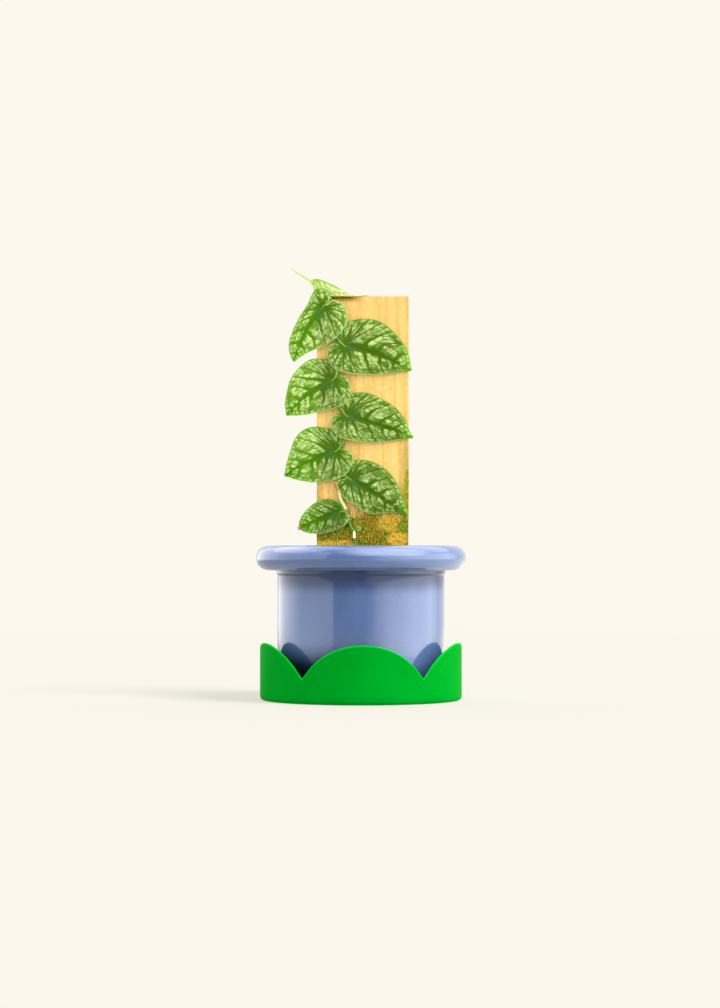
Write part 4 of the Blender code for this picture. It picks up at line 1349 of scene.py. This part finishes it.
@dataclass
class Leaf:
    """A heart-shaped leaf. Outline points are (along, across) from the joint; across is positive above."""

    name: str
    joint: Point
    tip: Point
    upper: tuple
    lower: tuple
    bow: float
    rise: float
    dome: float
    node: Point
    upper_veins: tuple = (0.09, 0.20, 0.31, 0.42, 0.53, 0.64, 0.75, 0.86, 0.94)
    lower_veins: tuple = (0.09, 0.20, 0.31, 0.43, 0.55, 0.67, 0.78, 0.88, 0.95)
    blush: float = 0.0
    # Paling: partly the leaf's own, partly painted light that brightens leaves which lie in less light.
    paling_and_painted_light: float = 0.0
    blade: float = 0.9
    slants: tuple = (0.85, 0.95)
    columns: int = 128
    rows: int = 30
    widest_gap: float = 14.0
    clearance: float = 0.6
    off_board: float = 2.2
    over_stem: float = 4.1
    stem_reach: float = 15.0
    groove: float = 0.5
    wave: float = 0.35

    def length(self) -> float:
        """Distance from joint to tip."""
        return math.dist(self.joint, self.tip)

    def rib(self, share: np.ndarray) -> np.ndarray:
        """Flat points of the midrib at shares of its length."""
        return np.stack([self.length() * share, self.bow * np.sin(math.pi * share)], -1)

    def half(self, outline: tuple, slant: float, veins: tuple, seed: int) -> Half:
        """Lays out one half of the blade.

        Args:
            outline: Its margin.
            slant: How far a vein runs forward for each step outwards.
            veins: Shares of the margin at which its main veins end.
            seed: A whole number that makes its pattern differ from the other halves'.

        Returns:
            The half.
        """
        length = self.length()
        margin = even_curve([(0.0, 0.0), *outline, (length, 0.0)], self.columns)
        start = np.maximum.accumulate(np.maximum(0.0, (margin[:, 0] - slant * np.abs(margin[:, 1])) / length))
        start[-1] = 1.0
        root = self.rib(start)
        w = np.linspace(0.0, 1.0, self.rows + 1)
        flat = root[:, None] * (1 - w)[None, :, None] + margin[:, None] * w[None, :, None]
        share = np.linspace(0.0, 1.0, self.columns + 1)
        vein = np.interp(share, [0.0, *veins, 1.0], [0.5, *range(1, len(veins) + 1), len(veins) + 0.5])
        sweep = 0.16 * np.clip((share - 0.25) / 0.3, 0.0, 1.0) * np.clip((1.0 - share) / 0.15, 0.0, 1.0)
        wander = np.array([[noise.noise(Vector((s * 9.0, v * 2.0, seed + 0.5))) for v in w] for s in share])
        bend = (4 * w * (1 - w))[None]
        number = vein[:, None] + sweep[:, None] * bend + 0.22 * wander * bend + 20.0 * seed
        ahead = np.gradient(flat, axis=0)
        ruling = margin - root
        ruling /= np.maximum(np.linalg.norm(ruling, axis=1, keepdims=True), 1e-6)
        across = np.abs(ahead[..., 0] * ruling[:, None, 1] - ahead[..., 1] * ruling[:, None, 0])
        spread = np.minimum(across / np.gradient(vein)[:, None], self.widest_gap)
        spine = self.rib(np.linspace(0.0, 1.0, 80))
        to_rib = np.linalg.norm(flat[:, :, None] - spine[None, None], axis=-1).min(-1)
        to_edge = np.linalg.norm(flat[:, :, None] - margin[None, None, 4:], axis=-1).min(-1)
        return Half(flat, np.broadcast_to(w[None], number.shape), number,
                    np.stack([spread, to_rib, to_edge], -1))

    def relief(self, half: Half) -> np.ndarray:
        """How far the skin stands out between the veins, in millimetres."""
        off = np.abs((half.number + 0.5) % 1.0 - 0.5) * half.gaps[..., 0]
        near = np.clip(half.w / 0.12, 0.0, 1.0) * np.clip((1.0 - half.w) / 0.12, 0.0, 1.0)
        return 0.30 * (soft(np.clip(off / 2.4, 0.0, 1.0)) - 0.62) * near

    def axes(self) -> tuple[np.ndarray, np.ndarray]:
        """Directions on the board's face: to the tip, and to the leaf's upper side."""
        ahead = (np.array(self.tip) - np.array(self.joint)) / self.length()
        across = np.array([-ahead[1], ahead[0]])
        return ahead, across if across[1] > 0 else -across

    def on_board(self, flat: np.ndarray) -> np.ndarray:
        """Places across and up the board of flat points of the leaf."""
        ahead, across = self.axes()
        return np.array(self.joint) + flat[..., :1] * ahead + flat[..., 1:] * across

    def place(self, flat: np.ndarray, w: np.ndarray) -> np.ndarray:
        """Where the back of the blade lies over board and stem.

        Args:
            flat: Flat points of the leaf.
            w: Their shares from midrib to margin.

        Returns:
            Their places in millimetres.
        """
        spot = self.on_board(flat)
        near_stem = np.exp(-((spot[..., 0] - stem_x(spot[..., 1])) / self.stem_reach) ** 2)
        shingle = -self.rise * np.clip(flat[..., 1] / 20.0, -1.0, 1.0) * (0.5 + 0.5 * near_stem)
        reach = np.clip(flat[..., 0] / self.length(), 0.0, 1.0)
        swell = 0.3 + 0.7 * soft(np.minimum(1.0, reach / 0.3))
        dome = self.dome * (1.0 - w ** 2.4) * swell * (1.0 - 0.7 * reach ** 2)
        groove = -self.groove * np.exp(-(w / 0.1) ** 2)
        wave = self.wave * w ** 3 * np.sin(flat[..., 0] * 0.42 + self.joint[1])
        out = self.off_board + self.over_stem * near_stem + shingle + dome + groove + wave
        return np.stack([spot[..., 0], -out, spot[..., 1]], -1)

    def on_rib(self, reach: float) -> np.ndarray:
        """Where the back of the midrib lies, so far from the joint."""
        return self.place(np.array([reach, 0.0]), np.array(0.0))

    def facing(self) -> Vector:
        """The way that the blade's upper side looks."""
        return Vector((0, -1, 0))

    def sheet(self, side: str, outline: tuple, slant: float, veins: tuple) -> bpy.types.Object:
        """One half of the blade as an open sheet with its maps.

        Args:
            side: The end of its name, which also sets the seed of its pattern.
            outline: Its margin.
            slant: How far a vein runs forward for each step outwards.
            veins: Shares of the margin at which its main veins end.

        Returns:
            The sheet's object.
        """
        half = self.half(outline, slant, veins, 2 * int(self.node[1]) % 97 + (side == "_lower"))
        spots = self.place(half.flat, half.w)
        spots = spots + self.relief(half)[..., None] * np.array(self.facing())
        made = lay_sheet(self.name + side, spots)
        made.map("veins", half.number / VEIN_ROWS, half.w)
        made.map("flat", half.flat[..., 0] / 100.0, half.flat[..., 1] / 100.0)
        made.note("gaps", half.gaps)
        if self.blush or self.paling_and_painted_light:
            share = np.clip(half.flat[..., 0] / self.length(), 0.0, 1.0)
            red = (share - 1.0 + self.blush) / self.blush if self.blush else share * 0.0
            made.note("blush", np.stack([red, np.full_like(share, self.paling_and_painted_light), share], -1))
        return made.piece

    def blade_piece(self) -> bpy.types.Object:
        """Both halves, welded along the midrib and given their thickness."""
        blade = join([self.sheet("_upper", self.upper, self.slants[0], self.upper_veins),
                      self.sheet("_lower", self.lower, self.slants[1], self.lower_veins)])
        blade.name = self.name + "_blade"
        weld(blade, 0.004)
        face_towards(blade, self.facing())
        apply_modifier(blade, "SOLIDIFY", thickness=self.blade * MM, offset=1.0, use_even_offset=False,
                       material_offset=1, material_offset_rim=2)
        return blade

    def petiole(self, radius: float, seats: Point, steps: int, sides: int, lime: float) -> bpy.types.Object:
        """The petiole, squarely out from the stem and into the blade's back.

        Args:
            radius: Its radius at the stem.
            seats: How far from the joint it meets the blade and ends in it.
            steps: How many steps it has along its length.
            sides: How many faces go round it.
            lime: How green it is.

        Returns:
            The petiole.
        """
        x, z = self.node
        rising = np.array([float(stem_x(z + 2.0) - stem_x(z - 2.0)), 0.0, 4.0])
        rising /= np.linalg.norm(rising)
        away = np.array([rising[2], 0.0, -rising[0]]) * math.copysign(1.0, self.joint[0] - x)
        start = np.array([x, -2.05, z]) + away * (STEM_RADIUS * 1.04 + self.clearance)
        seat, inner = (self.on_rib(reach) for reach in seats)
        path = even_curve([start, start + away * 0.9, seat + (0.0, 0.5, 0.0), inner], steps)
        radii = radius * (1.0 - 0.35 * np.linspace(0, 1, steps + 1))
        return rod(self.name + "_petiole", path, radii, sides, 0.0, 0.0, lime)

    def knob(self) -> bpy.types.Object:
        """The knob that shows in the notch, from the stem over the blade's root."""
        x, z = self.node
        ahead, across = self.axes()
        back = np.array([x, z]) - np.array(self.joint)
        notch = self.place(np.array([back @ ahead, back @ across]) * 0.5, np.array(0.3))
        notch = notch + (0.0, -self.blade - 0.3, 0.0)
        side = math.copysign(1.0, self.joint[0] - x)
        path = [(x + side * 0.5, min(-3.6, notch[1] + 1.5), z + 1.2), notch]
        path += [self.on_rib(reach) + (0.0, -self.blade * lift - 0.12, 0.0)
                 for reach, lift in ((0.2, 0.75), (1.0, 0.85), (2.0, 0.70), (3.4, 0.5))]
        lime = np.interp(np.linspace(0, 1, 19), (0.0, 0.3, 0.75, 1.0), (0.35, 0.6, 1.0, 0.4))
        radii = 0.66 - 0.46 * np.linspace(0, 1, 17) ** 2.2
        return rod(self.name + "_knob", even_curve(path, 16), radii, 10, 0.0, 0.0, lime)

    def stalk(self) -> list[bpy.types.Object]:
        """The petiole and the knob in the notch."""
        return [self.petiole(1.15, (1.4, 3.4), 20, 14, 0.7), self.knob()]

    def build(self, skins: list[bpy.types.Material], slot: str, stem: bpy.types.Material) -> bpy.types.Object:
        """Makes the leaf.

        Args:
            skins: Materials of the upper side, the underside and the hem.
            slot: The record's material slot.
            stem: The material of its petiole.

        Returns:
            The finished piece.
        """
        blade = self.blade_piece()
        dress(blade, *skins)
        stalks = self.stalk()
        for stalk in stalks:
            dress(stalk, stem)
        leaf = join([blade, *stalks])
        smooth(leaf, 50)
        return settle(leaf, slot, self.name)


@dataclass
class TopLeaf(Leaf):
    """The pale young leaf that straddles the board's top edge, with its midrib as the ridge."""

    joint_x: float = -44.0
    tip_x: float = 7.0
    ridge_y: float = 8.0
    ridge: tuple = ((-51, 409.2), (-41, 408.8), (-36, 407.1), (-30, 404.2), (-24, 401.6), (-19, 399.0),
                    (-14, 396.3), (-9, 393.8), (0, 393.1), (8, 392.9))
    hem: tuple = ((-52, 404.0), (-49, 399.5), (-46, 396.6), (-36, 395.8), (-32, 393.4), (-30, 391.3),
                  (-27, 390.9), (2, 390.9), (8, 391.6))

    def place(self, flat: np.ndarray, w: np.ndarray) -> np.ndarray:
        """Where the underside of the blade lies: the front half falls steeply, the back half is flatter."""
        x = self.joint_x + flat[..., 0] * (self.tip_x - self.joint_x) / self.tip[0]
        ridge = line_at(x, self.ridge) - self.blade
        hem = line_at(x, self.hem)
        reach = -line_at(flat[..., 0], (*self.lower[6:], (self.tip[0], -0.6)))
        t = np.minimum(1.0, -flat[..., 1] / np.minimum(15.5, reach))
        bulge = 1.2 * np.sin(math.pi * t) * np.minimum(1.0, (ridge - hem) / 6.0)
        over = np.interp(x, (-31.0, -29.0, 0.0, 6.0), (0.25, -0.95, -0.95, 0.25))
        y = self.ridge_y - (self.ridge_y - over) * t - bulge * 0.7
        z = ridge - (ridge - hem) * t + bulge * 0.7
        resting = np.interp(x, (-32.0, -30.5), (0.0, 391.65)) - 0.85 * np.maximum(0.0, -y)
        front = np.stack([x, y, np.maximum(z, resting)], -1)
        t = flat[..., 1] / 18.5
        fall = (ridge - 391.9) * (0.25 * t + 0.3 * t * t)
        arch = 0.6 * np.sin(math.pi * np.minimum(1.0, t))
        back = np.stack([x, self.ridge_y + 17.0 * t, ridge - fall + arch], -1)
        return np.where((flat[..., 1] < 0)[..., None], front, back)

    def facing(self) -> Vector:
        """The way that the blade's upper side looks."""
        return Vector((0, 0, 1))

    def stalk(self) -> list[bpy.types.Object]:
        """The short petiole under the blade."""
        route = [(-43.2, 6.6, 400.9), (-42.6, 7.2, 403.4), self.on_rib(2.0) + (0.0, 0.0, 0.4)]
        return [rod(self.name + "_petiole", even_curve(route, 12), np.full(13, 0.9), 12, 0.0, 0.0, 0.9)]


@dataclass
class BudLeaf(Leaf):
    """The tiny leaf low on the stem."""

    def relief(self, half: Half) -> np.ndarray:
        """The tiny blade is plain."""
        return half.w * 0.0

    def place(self, flat: np.ndarray, w: np.ndarray) -> np.ndarray:
        """Where the back of the blade lies: level with the stem and a little cupped."""
        spot = self.on_board(flat)
        return np.stack([spot[..., 0], -2.15 - 0.4 * w * w - 0.06 * flat[..., 0], spot[..., 1]], -1)

    def stalk(self) -> list[bpy.types.Object]:
        """Its petiole alone."""
        return [self.petiole(0.55, (0.66, 1.65), 12, 10, 0.8)]


LEAVES = (
    Leaf("leaf_1", (-18.8, 182.4), (-60.5, 166.0),
         ((-2.5, 2), (-2.5, 6.5), (0, 10.5), (5, 15), (12, 17.5), (19, 17.5), (27, 15.5), (35, 11.5),
          (41, 6.5)),
         ((-3.5, -2), (-4.5, -7), (-2, -11.5), (4, -14), (13, -14.5), (22, -13.5), (32, -10.5), (40, -5.5)),
         1.0, 0.4, 1.6, (-14.0, 182.0), blush=0.14, paling_and_painted_light=1.0),
    Leaf("leaf_2", (-11.1, 214.0), (45.7, 179.1),
         ((-4.5, 1), (-9, 4), (-10, 11), (-5, 18), (3, 23.5), (12, 26), (22, 26.5), (32, 24.5), (43, 19),
          (52, 12), (60, 5.5)),
         ((-4, -2.5), (-7.5, -7), (-6.5, -12.5), (-1, -16), (8, -19), (18, -18.5), (28, -19.5),
          (38, -16.5), (46, -10), (54, -4.5), (61, -1.5)),
         0.5, 1.8, 2.0, (-19.3, 219.0)),
    Leaf("leaf_3", (-23.7, 241.1), (-73.6, 217.4),
         ((-5.5, 2), (-11, 6), (-11, 13), (-6, 20), (1, 25.5), (8, 30), (16, 32), (24, 31.5), (33, 26.5),
          (42, 17.5), (50, 8)),
         ((-6, -0.5), (-11, -5.5), (-11.5, -12.5), (-6, -19.5), (1, -24), (10, -25), (21, -22),
          (32, -18.5), (42, -12.5), (50, -5.5)),
         2.5, 1.8, 2.2, (-17.6, 247.0), paling_and_painted_light=0.6),
    Leaf("leaf_4", (-14.5, 275.1), (50.5, 254.2),
         ((-6, 4), (-9.5, 8), (-8.5, 14.5), (-3, 21), (5, 25.5), (13, 27.5), (22, 27), (36, 24.5),
          (49, 19), (58, 11), (64, 4)),
         ((-5, 0.5), (-9, -1), (-11.5, -7), (-9.5, -14.5), (-3, -20.5), (5, -21.5), (18, -20),
          (33, -16.5), (47, -10.5), (58, -5)),
         0.8, 1.8, 2.2, (-19.8, 282.0)),
    Leaf("leaf_5", (-26.6, 310.0), (-71.7, 276.1),
         ((-6, 2.5), (-11, 6), (-11, 13), (-7, 19), (-1, 25), (5, 29), (13, 30), (22, 29), (34, 25),
          (45, 16), (52, 9)),
         ((-6, 0), (-10, -4), (-10.5, -11), (-6, -19), (0, -24.5), (7, -25), (17, -22), (29, -16.5),
          (41, -11.5), (50, -5.5)),
         3.6, 1.8, 2.2, (-21.7, 317.0), paling_and_painted_light=0.5),
    Leaf("leaf_6", (-16.4, 343.0), (48.6, 319.2),
         ((-5.5, 4), (-9.5, 9), (-9, 16.5), (-3, 24.5), (6, 30), (15, 33), (24, 34), (37, 30.5), (50, 24),
          (60, 15.5), (66, 7)),
         ((-4, 1), (-8, 0), (-12, -5), (-12, -12), (-7, -20), (0, -24.5), (8, -24), (22, -21),
          (37, -16), (51, -10), (60, -4.5)),
         2.6, 1.8, 2.4, (-24.6, 350.5)),
    Leaf("leaf_7", (-36.3, 380.9), (-64.9, 328.4),
         ((-7, -1.6), (-10.5, -2.2), (-13.5, 0.6), (-14.6, 5), (-13.6, 10.5), (-11.2, 14.6), (-6, 15.4),
          (5, 14.5), (22, 15.5), (40, 14), (50, 11), (57, 5)),
         ((-4.5, -3.4), (-8.5, -4.6), (-10.7, -9), (-10.5, -16), (-5, -23), (4, -27), (12, -27),
          (24, -24), (34, -18), (45, -9), (53, -4)),
         4.0, 1.8, 2.2, (-29.5, 388.5), paling_and_painted_light=0.7),
)
TOP_LEAF = TopLeaf(
    "leaf_8", (0.0, 0.0), (51.0, 0.0),
    ((-2.5, 0.6), (-4.8, 3), (-5.2, 8), (-3, 14), (3, 17.5), (12, 18.5), (22, 16.5), (32, 11.5), (42, 5.5)),
    ((-2.5, -0.6), (-5.8, -2), (-6.6, -5), (-5, -9), (-2.5, -13), (2, -15.5), (10, -17), (20, -15.5),
     (30, -11), (40, -5.5)),
    0.0, 0.0, 0.0, (0.0, 0.0))
BUD = BudLeaf(
    "bud_leaf", (-4.7, 164.9), (1.0, 167.3),
    ((-0.5, 1.1), (0.3, 2.6), (2.4, 3.2), (4.8, 1.7)), ((-0.3, -1.3), (1.0, -2.4), (3.4, -2.3), (5.1, -1.1)),
    0.0, 0.0, 0.0, (-7.9, 164.2), upper_veins=(0.35, 0.65), lower_veins=(0.35, 0.65), columns=32, rows=8)


@dataclass
class Foliage:
    """All the leaves."""

    silvered: LeafSkin = LeafSkin("silvered_leaf")
    young: LeafSkin = LeafSkin(
        "young_leaf", silver=(0.72, 0.66, 0.48), silver_low=(0.42, 0.46, 0.16), deep=(0.17, 0.32, 0.004),
        blot=(0.22, 0.38, 0.02), lime=(0.34, 0.50, 0.03), border=(0.32, 0.46, 0.03), pale=(0.66, 0.64, 0.18),
        core=0.0, back_glow=(0.30, 0.42, 0.04), back_share=0.3, vein_base=0.9, vein_edge=0.35, rib_base=3.0,
        rib_tip=1.4, blotch=3.0, net=0.6, stripe=0.6, through=0.12, root=(0.06, 0.30))
    bud: LeafSkin = LeafSkin(
        "bud_leaf", silver=(0.70, 0.90, 0.45), silver_low=(0.50, 0.74, 0.22), deep=(0.19, 0.40, 0.02),
        border=(0.20, 0.44, 0.03), vein_base=0.3, vein_edge=0.15, rib_base=0.4, rib_tip=0.25, blotch=0.5,
        net=0.2, stripe=0.2, fine_edge=0.3)

    def build(self) -> list[bpy.types.Object]:
        """Makes every leaf and returns them."""
        stem = StemSkin().material()
        made = []
        for leaves, skin, slot in ((LEAVES, self.silvered, "silvered_leaf"),
                                   ((TOP_LEAF,), self.young, "young_leaf"), ((BUD,), self.bud, "young_leaf")):
            skins = [skin.face(), skin.back(), skin.hem()]
            made += [leaf.build(skins, slot, stem) for leaf in leaves]
        return made


# Studio


def bearing(turn: float, rise: float) -> Vector:
    """The direction at an angle from the front that rises by another angle."""
    return Vector((math.sin(turn) * math.cos(rise), -math.cos(turn) * math.cos(rise), math.sin(rise)))


def shine_from(way: Vector) -> Euler:
    """The rotation of a light that shines from that direction."""
    return (-way).to_track_quat("-Z", "Y").to_euler()


@dataclass
class Softbox:
    """A plain rectangular softbox with soft ends that looks at a point on the object's axis.

    Bearings are in degrees round the object: 0 is the camera's side and 90 is the right. The box covers the
    bearings from first to last, seen from the axis at the given distance. Its levels are pairs of a share of
    its width or height and the glow there, from first to last and from low to high.
    """

    name: str
    first: float
    last: float
    distance: float
    glow: float
    across: tuple[Point, ...] = ((0.0, 1.0), (1.0, 1.0))
    upwards: tuple[Point, ...] = ((0.0, 1.0), (1.0, 1.0))
    colour: Colour = (1.0, 1.0, 1.0)
    low: float = 0.0
    high: float = 1.7
    lean: float = 0.0
    aim: float = 0.2
    group: str = ""

    def shade(self, light: bpy.types.Light) -> None:
        """Grades the light over the box's width and height."""
        r = Recipe(light)
        levels = []
        for part, stops in zip(r.split(r.out("NewGeometry", {}, "Parametric")), (self.across, self.upwards)):
            node = r.node("ValToRGB", {0: part})
            ramp = node.color_ramp
            ramp.interpolation = "EASE"
            while len(ramp.elements) < len(stops):
                ramp.elements.new(0.5)
            for stop, (share, grey) in zip(ramp.elements, stops):
                stop.position = share
                stop.color = (grey, grey, grey, 1.0)
            levels.append(node.outputs[0])
        r.done(r.out("Emission", {"Strength": r.both(*levels)}), "Light")

    def build(self) -> bpy.types.Object:
        """Adds the light."""
        middle = math.radians((self.first + self.last) / 2)
        half = math.radians((self.last - self.first) / 2)
        light = bpy.data.lights.new(self.name, "AREA")
        light.shape = "RECTANGLE"
        light.size = 2 * self.distance * math.tan(half)
        light.size_y = self.high - self.low
        light.energy = self.glow * math.pi * light.size * light.size_y
        light.color = self.colour
        self.shade(light)
        lamp = link(self.name, light)
        lean = math.radians(self.lean)
        out, up = bearing(middle, lean), bearing(middle, lean + math.pi / 2)
        lamp.location = Vector((0.0, 0.0, self.aim)) + out * self.distance
        lamp.location += up * ((self.low + self.high) / 2 - self.aim)
        lamp.rotation_euler = shine_from(out)
        lamp.visible_camera = False
        return lamp


@dataclass
class Studio:
    """The plain floor, the soft light and the camera."""

    paper: Colour = (0.9734, 0.9387, 0.8469)
    ambient: float = 0.24
    backdrop: float = 0.95
    floor_grey: float = 0.205
    sun_share: float = 1.0
    sun_bearing: float = 53.0
    sun_height: float = 54.0
    sun_width: float = 26.0
    bounce: float = 0.24
    lens: float = 95.54
    camera_shift: float = 0.0407
    camera_spot: Point = (-0.0009, -2.5948, 0.15)
    far_paper: Colour = (1.0, 0.98, 0.95)
    boxes: tuple[Softbox, ...] = (
        Softbox("right_box", 14.0, 128.0, 1.1, 2.3,
                ((0.0, 0.08), (0.10, 0.25), (0.15, 0.42), (0.34, 0.72), (0.53, 1.0), (0.74, 0.7),
                 (0.82, 0.38), (1.0, 0.08)),
                ((0.0, 1.0), (0.6, 0.9), (1.0, 0.25)), high=0.9),
        Softbox("left_box", -154.0, -37.0, 0.83, 1.15,
                upwards=((0.0, 0.8), (0.4, 0.8), (0.8, 1.0), (1.0, 0.6)), colour=(0.92, 0.96, 1.0)),
        Softbox("key_panel", -10.0, 80.0, 1.6, 3.6,
                ((0.0, 0.1), (0.4, 1.0), (0.65, 1.0), (1.0, 0.15)),
                ((0.0, 0.4), (0.35, 1.0), (0.6, 0.85), (1.0, 0.3)),
                low=-0.9, high=1.4, lean=48.0),
        Softbox("top_panel", -60.0, 60.0, 1.2, 1.25, upwards=((0.0, 0.6), (0.25, 1.0), (1.0, 1.0)),
                low=-0.2, high=1.7, lean=90.0),
        Softbox("back_panel", 140.0, 220.0, 1.2, 2.5, high=1.4, group="leaves"),
        Softbox("front_fill", -45.0, 45.0, 1.6, 0.8, low=-0.2, high=1.2, group="plant"),
        Softbox("board_fill", -80.0, -5.0, 0.8, 2.5, low=-0.05, high=0.35, group="board"),
    )

    def world(self) -> None:
        """The pale surroundings: the paper that the camera sees, a bright backdrop and a dim front."""
        world = bpy.data.worlds.new("studio")
        bpy.context.scene.world = world
        r = Recipe(world)
        _, depth, _ = r.split(r.out("TexCoord", {}, "Generated"))
        around = r.out("Background", {"Color": self.far_paper,
                                      "Strength": r.ease(depth, -0.1, 0.45, self.ambient, self.backdrop)})
        seen = r.out("Background", {"Color": self.paper})
        in_view = r.out("LightPath", {}, "Is Camera Ray")
        r.done(r.out("MixShader", {0: in_view, 1: around, 2: seen}), "World")

    def floor(self) -> bpy.types.Object:
        """A wide pale floor, as bright as the surroundings where no shadow falls, that fades into them."""
        deselect()
        bpy.ops.mesh.primitive_circle_add(vertices=96, radius=3.2, fill_type="TRIFAN",
                                          location=(0, 0, -0.0002))
        floor = added("floor")
        r = Recipe("floor_paper")
        here = r.here()
        far = r.length(here)
        across, _, _ = r.split(here)
        left = 1.0 - self.floor_grey * (self.sun_share + (self.ambient + self.backdrop) / 2)
        near = r.plus(r.ease(far, 0.14, 0.34, left * self.bounce * 3.0, left * self.bounce),
                      r.ease(across, 0.04, 0.3, 0.0, 0.85), r.ease(across, -0.05, -0.3, 0.0, 0.2))
        in_view = r.out("LightPath", {}, "Is Camera Ray")
        strength = r.out("MapRange", {"Value": in_view, "To Min": near, "To Max": left})
        matt = r.out("BsdfDiffuse", {"Color": tuple(c * self.floor_grey for c in self.paper),
                                     "Normal": r.bump(r.noise(here, 400.0), 0.05, 0.0002)})
        glow = r.out("Emission", {"Color": self.paper, "Strength": strength})
        lit = r.out("AddShader", {0: matt, 1: glow})
        clear = r.out("BsdfTransparent", {})
        dress(floor, r.done(r.out("MixShader", {0: r.ease(far, 0.9, 2.8), 1: lit, 2: clear})))
        return floor

    def key_on_floor(self, floor: bpy.types.Object, boxes: list[bpy.types.Object]) -> None:
        """Lights the floor by one even soft sun, which gives the object's shadow, and keeps the boxes off it.

        Args:
            floor: The floor.
            boxes: The softboxes, which light the object alone.
        """
        light = bpy.data.lights.new("floor_sun", "SUN")
        height = math.radians(self.sun_height)
        light.energy = self.sun_share * math.pi / math.sin(height)
        light.angle = math.radians(self.sun_width)
        sun = link("floor_sun", light)
        sun.rotation_euler = shine_from(bearing(math.radians(self.sun_bearing), height))
        for lamps, state in (([sun], "INCLUDE"), (boxes, "EXCLUDE")):
            group = bpy.data.collections.new("floor_" + state.lower())
            group.objects.link(floor)
            group.collection_objects[0].light_linking.link_state = state
            for lamp in lamps:
                lamp.light_linking.receiver_collection = group

    def light_only(self, group: str, pieces: list[bpy.types.Object]) -> None:
        """Keeps the boxes of a group to some pieces.

        Args:
            group: The boxes' group.
            pieces: What these boxes light.
        """
        lit = bpy.data.collections.new("lit_" + group)
        for piece in pieces:
            lit.objects.link(piece)
        for box in self.boxes:
            if box.group == group:
                bpy.data.objects[box.name].light_linking.receiver_collection = lit

    def camera(self) -> None:
        """The level camera at the rim's height, as far off as the photograph's perspective says."""
        data = bpy.data.cameras.new("camera")
        data.lens = self.lens
        data.sensor_width = 36.0
        data.shift_y = self.camera_shift
        data.clip_end = 50.0
        camera = link("camera", data)
        camera.location = self.camera_spot
        camera.rotation_euler = (math.pi / 2, 0.0, 0.0)
        bpy.context.scene.camera = camera

    def build(self) -> None:
        """Sets up the studio."""
        view = bpy.context.scene.view_settings
        view.view_transform = "Standard"
        view.look = "None"
        self.world()
        lamps = [box.build() for box in self.boxes]
        self.key_on_floor(self.floor(), [lamp for lamp, box in zip(lamps, self.boxes) if not box.group])
        self.camera()


def main() -> None:
    """Builds the plant, its pot and tray, and the studio round them."""
    logging.basicConfig(level=logging.INFO, format="%(name)s: %(message)s")
    studio = Studio()
    studio.build()
    ScallopedTray().build()
    GlazedPot().build()
    PottingSoil().build()
    board = Board().build()
    stem = ClimbingStem().build()
    leaves = Foliage().build()
    studio.light_only("leaves", leaves)
    studio.light_only("plant", [board, stem, *leaves])
    studio.light_only("board", [board, stem])


if __name__ == "__main__":
    main()
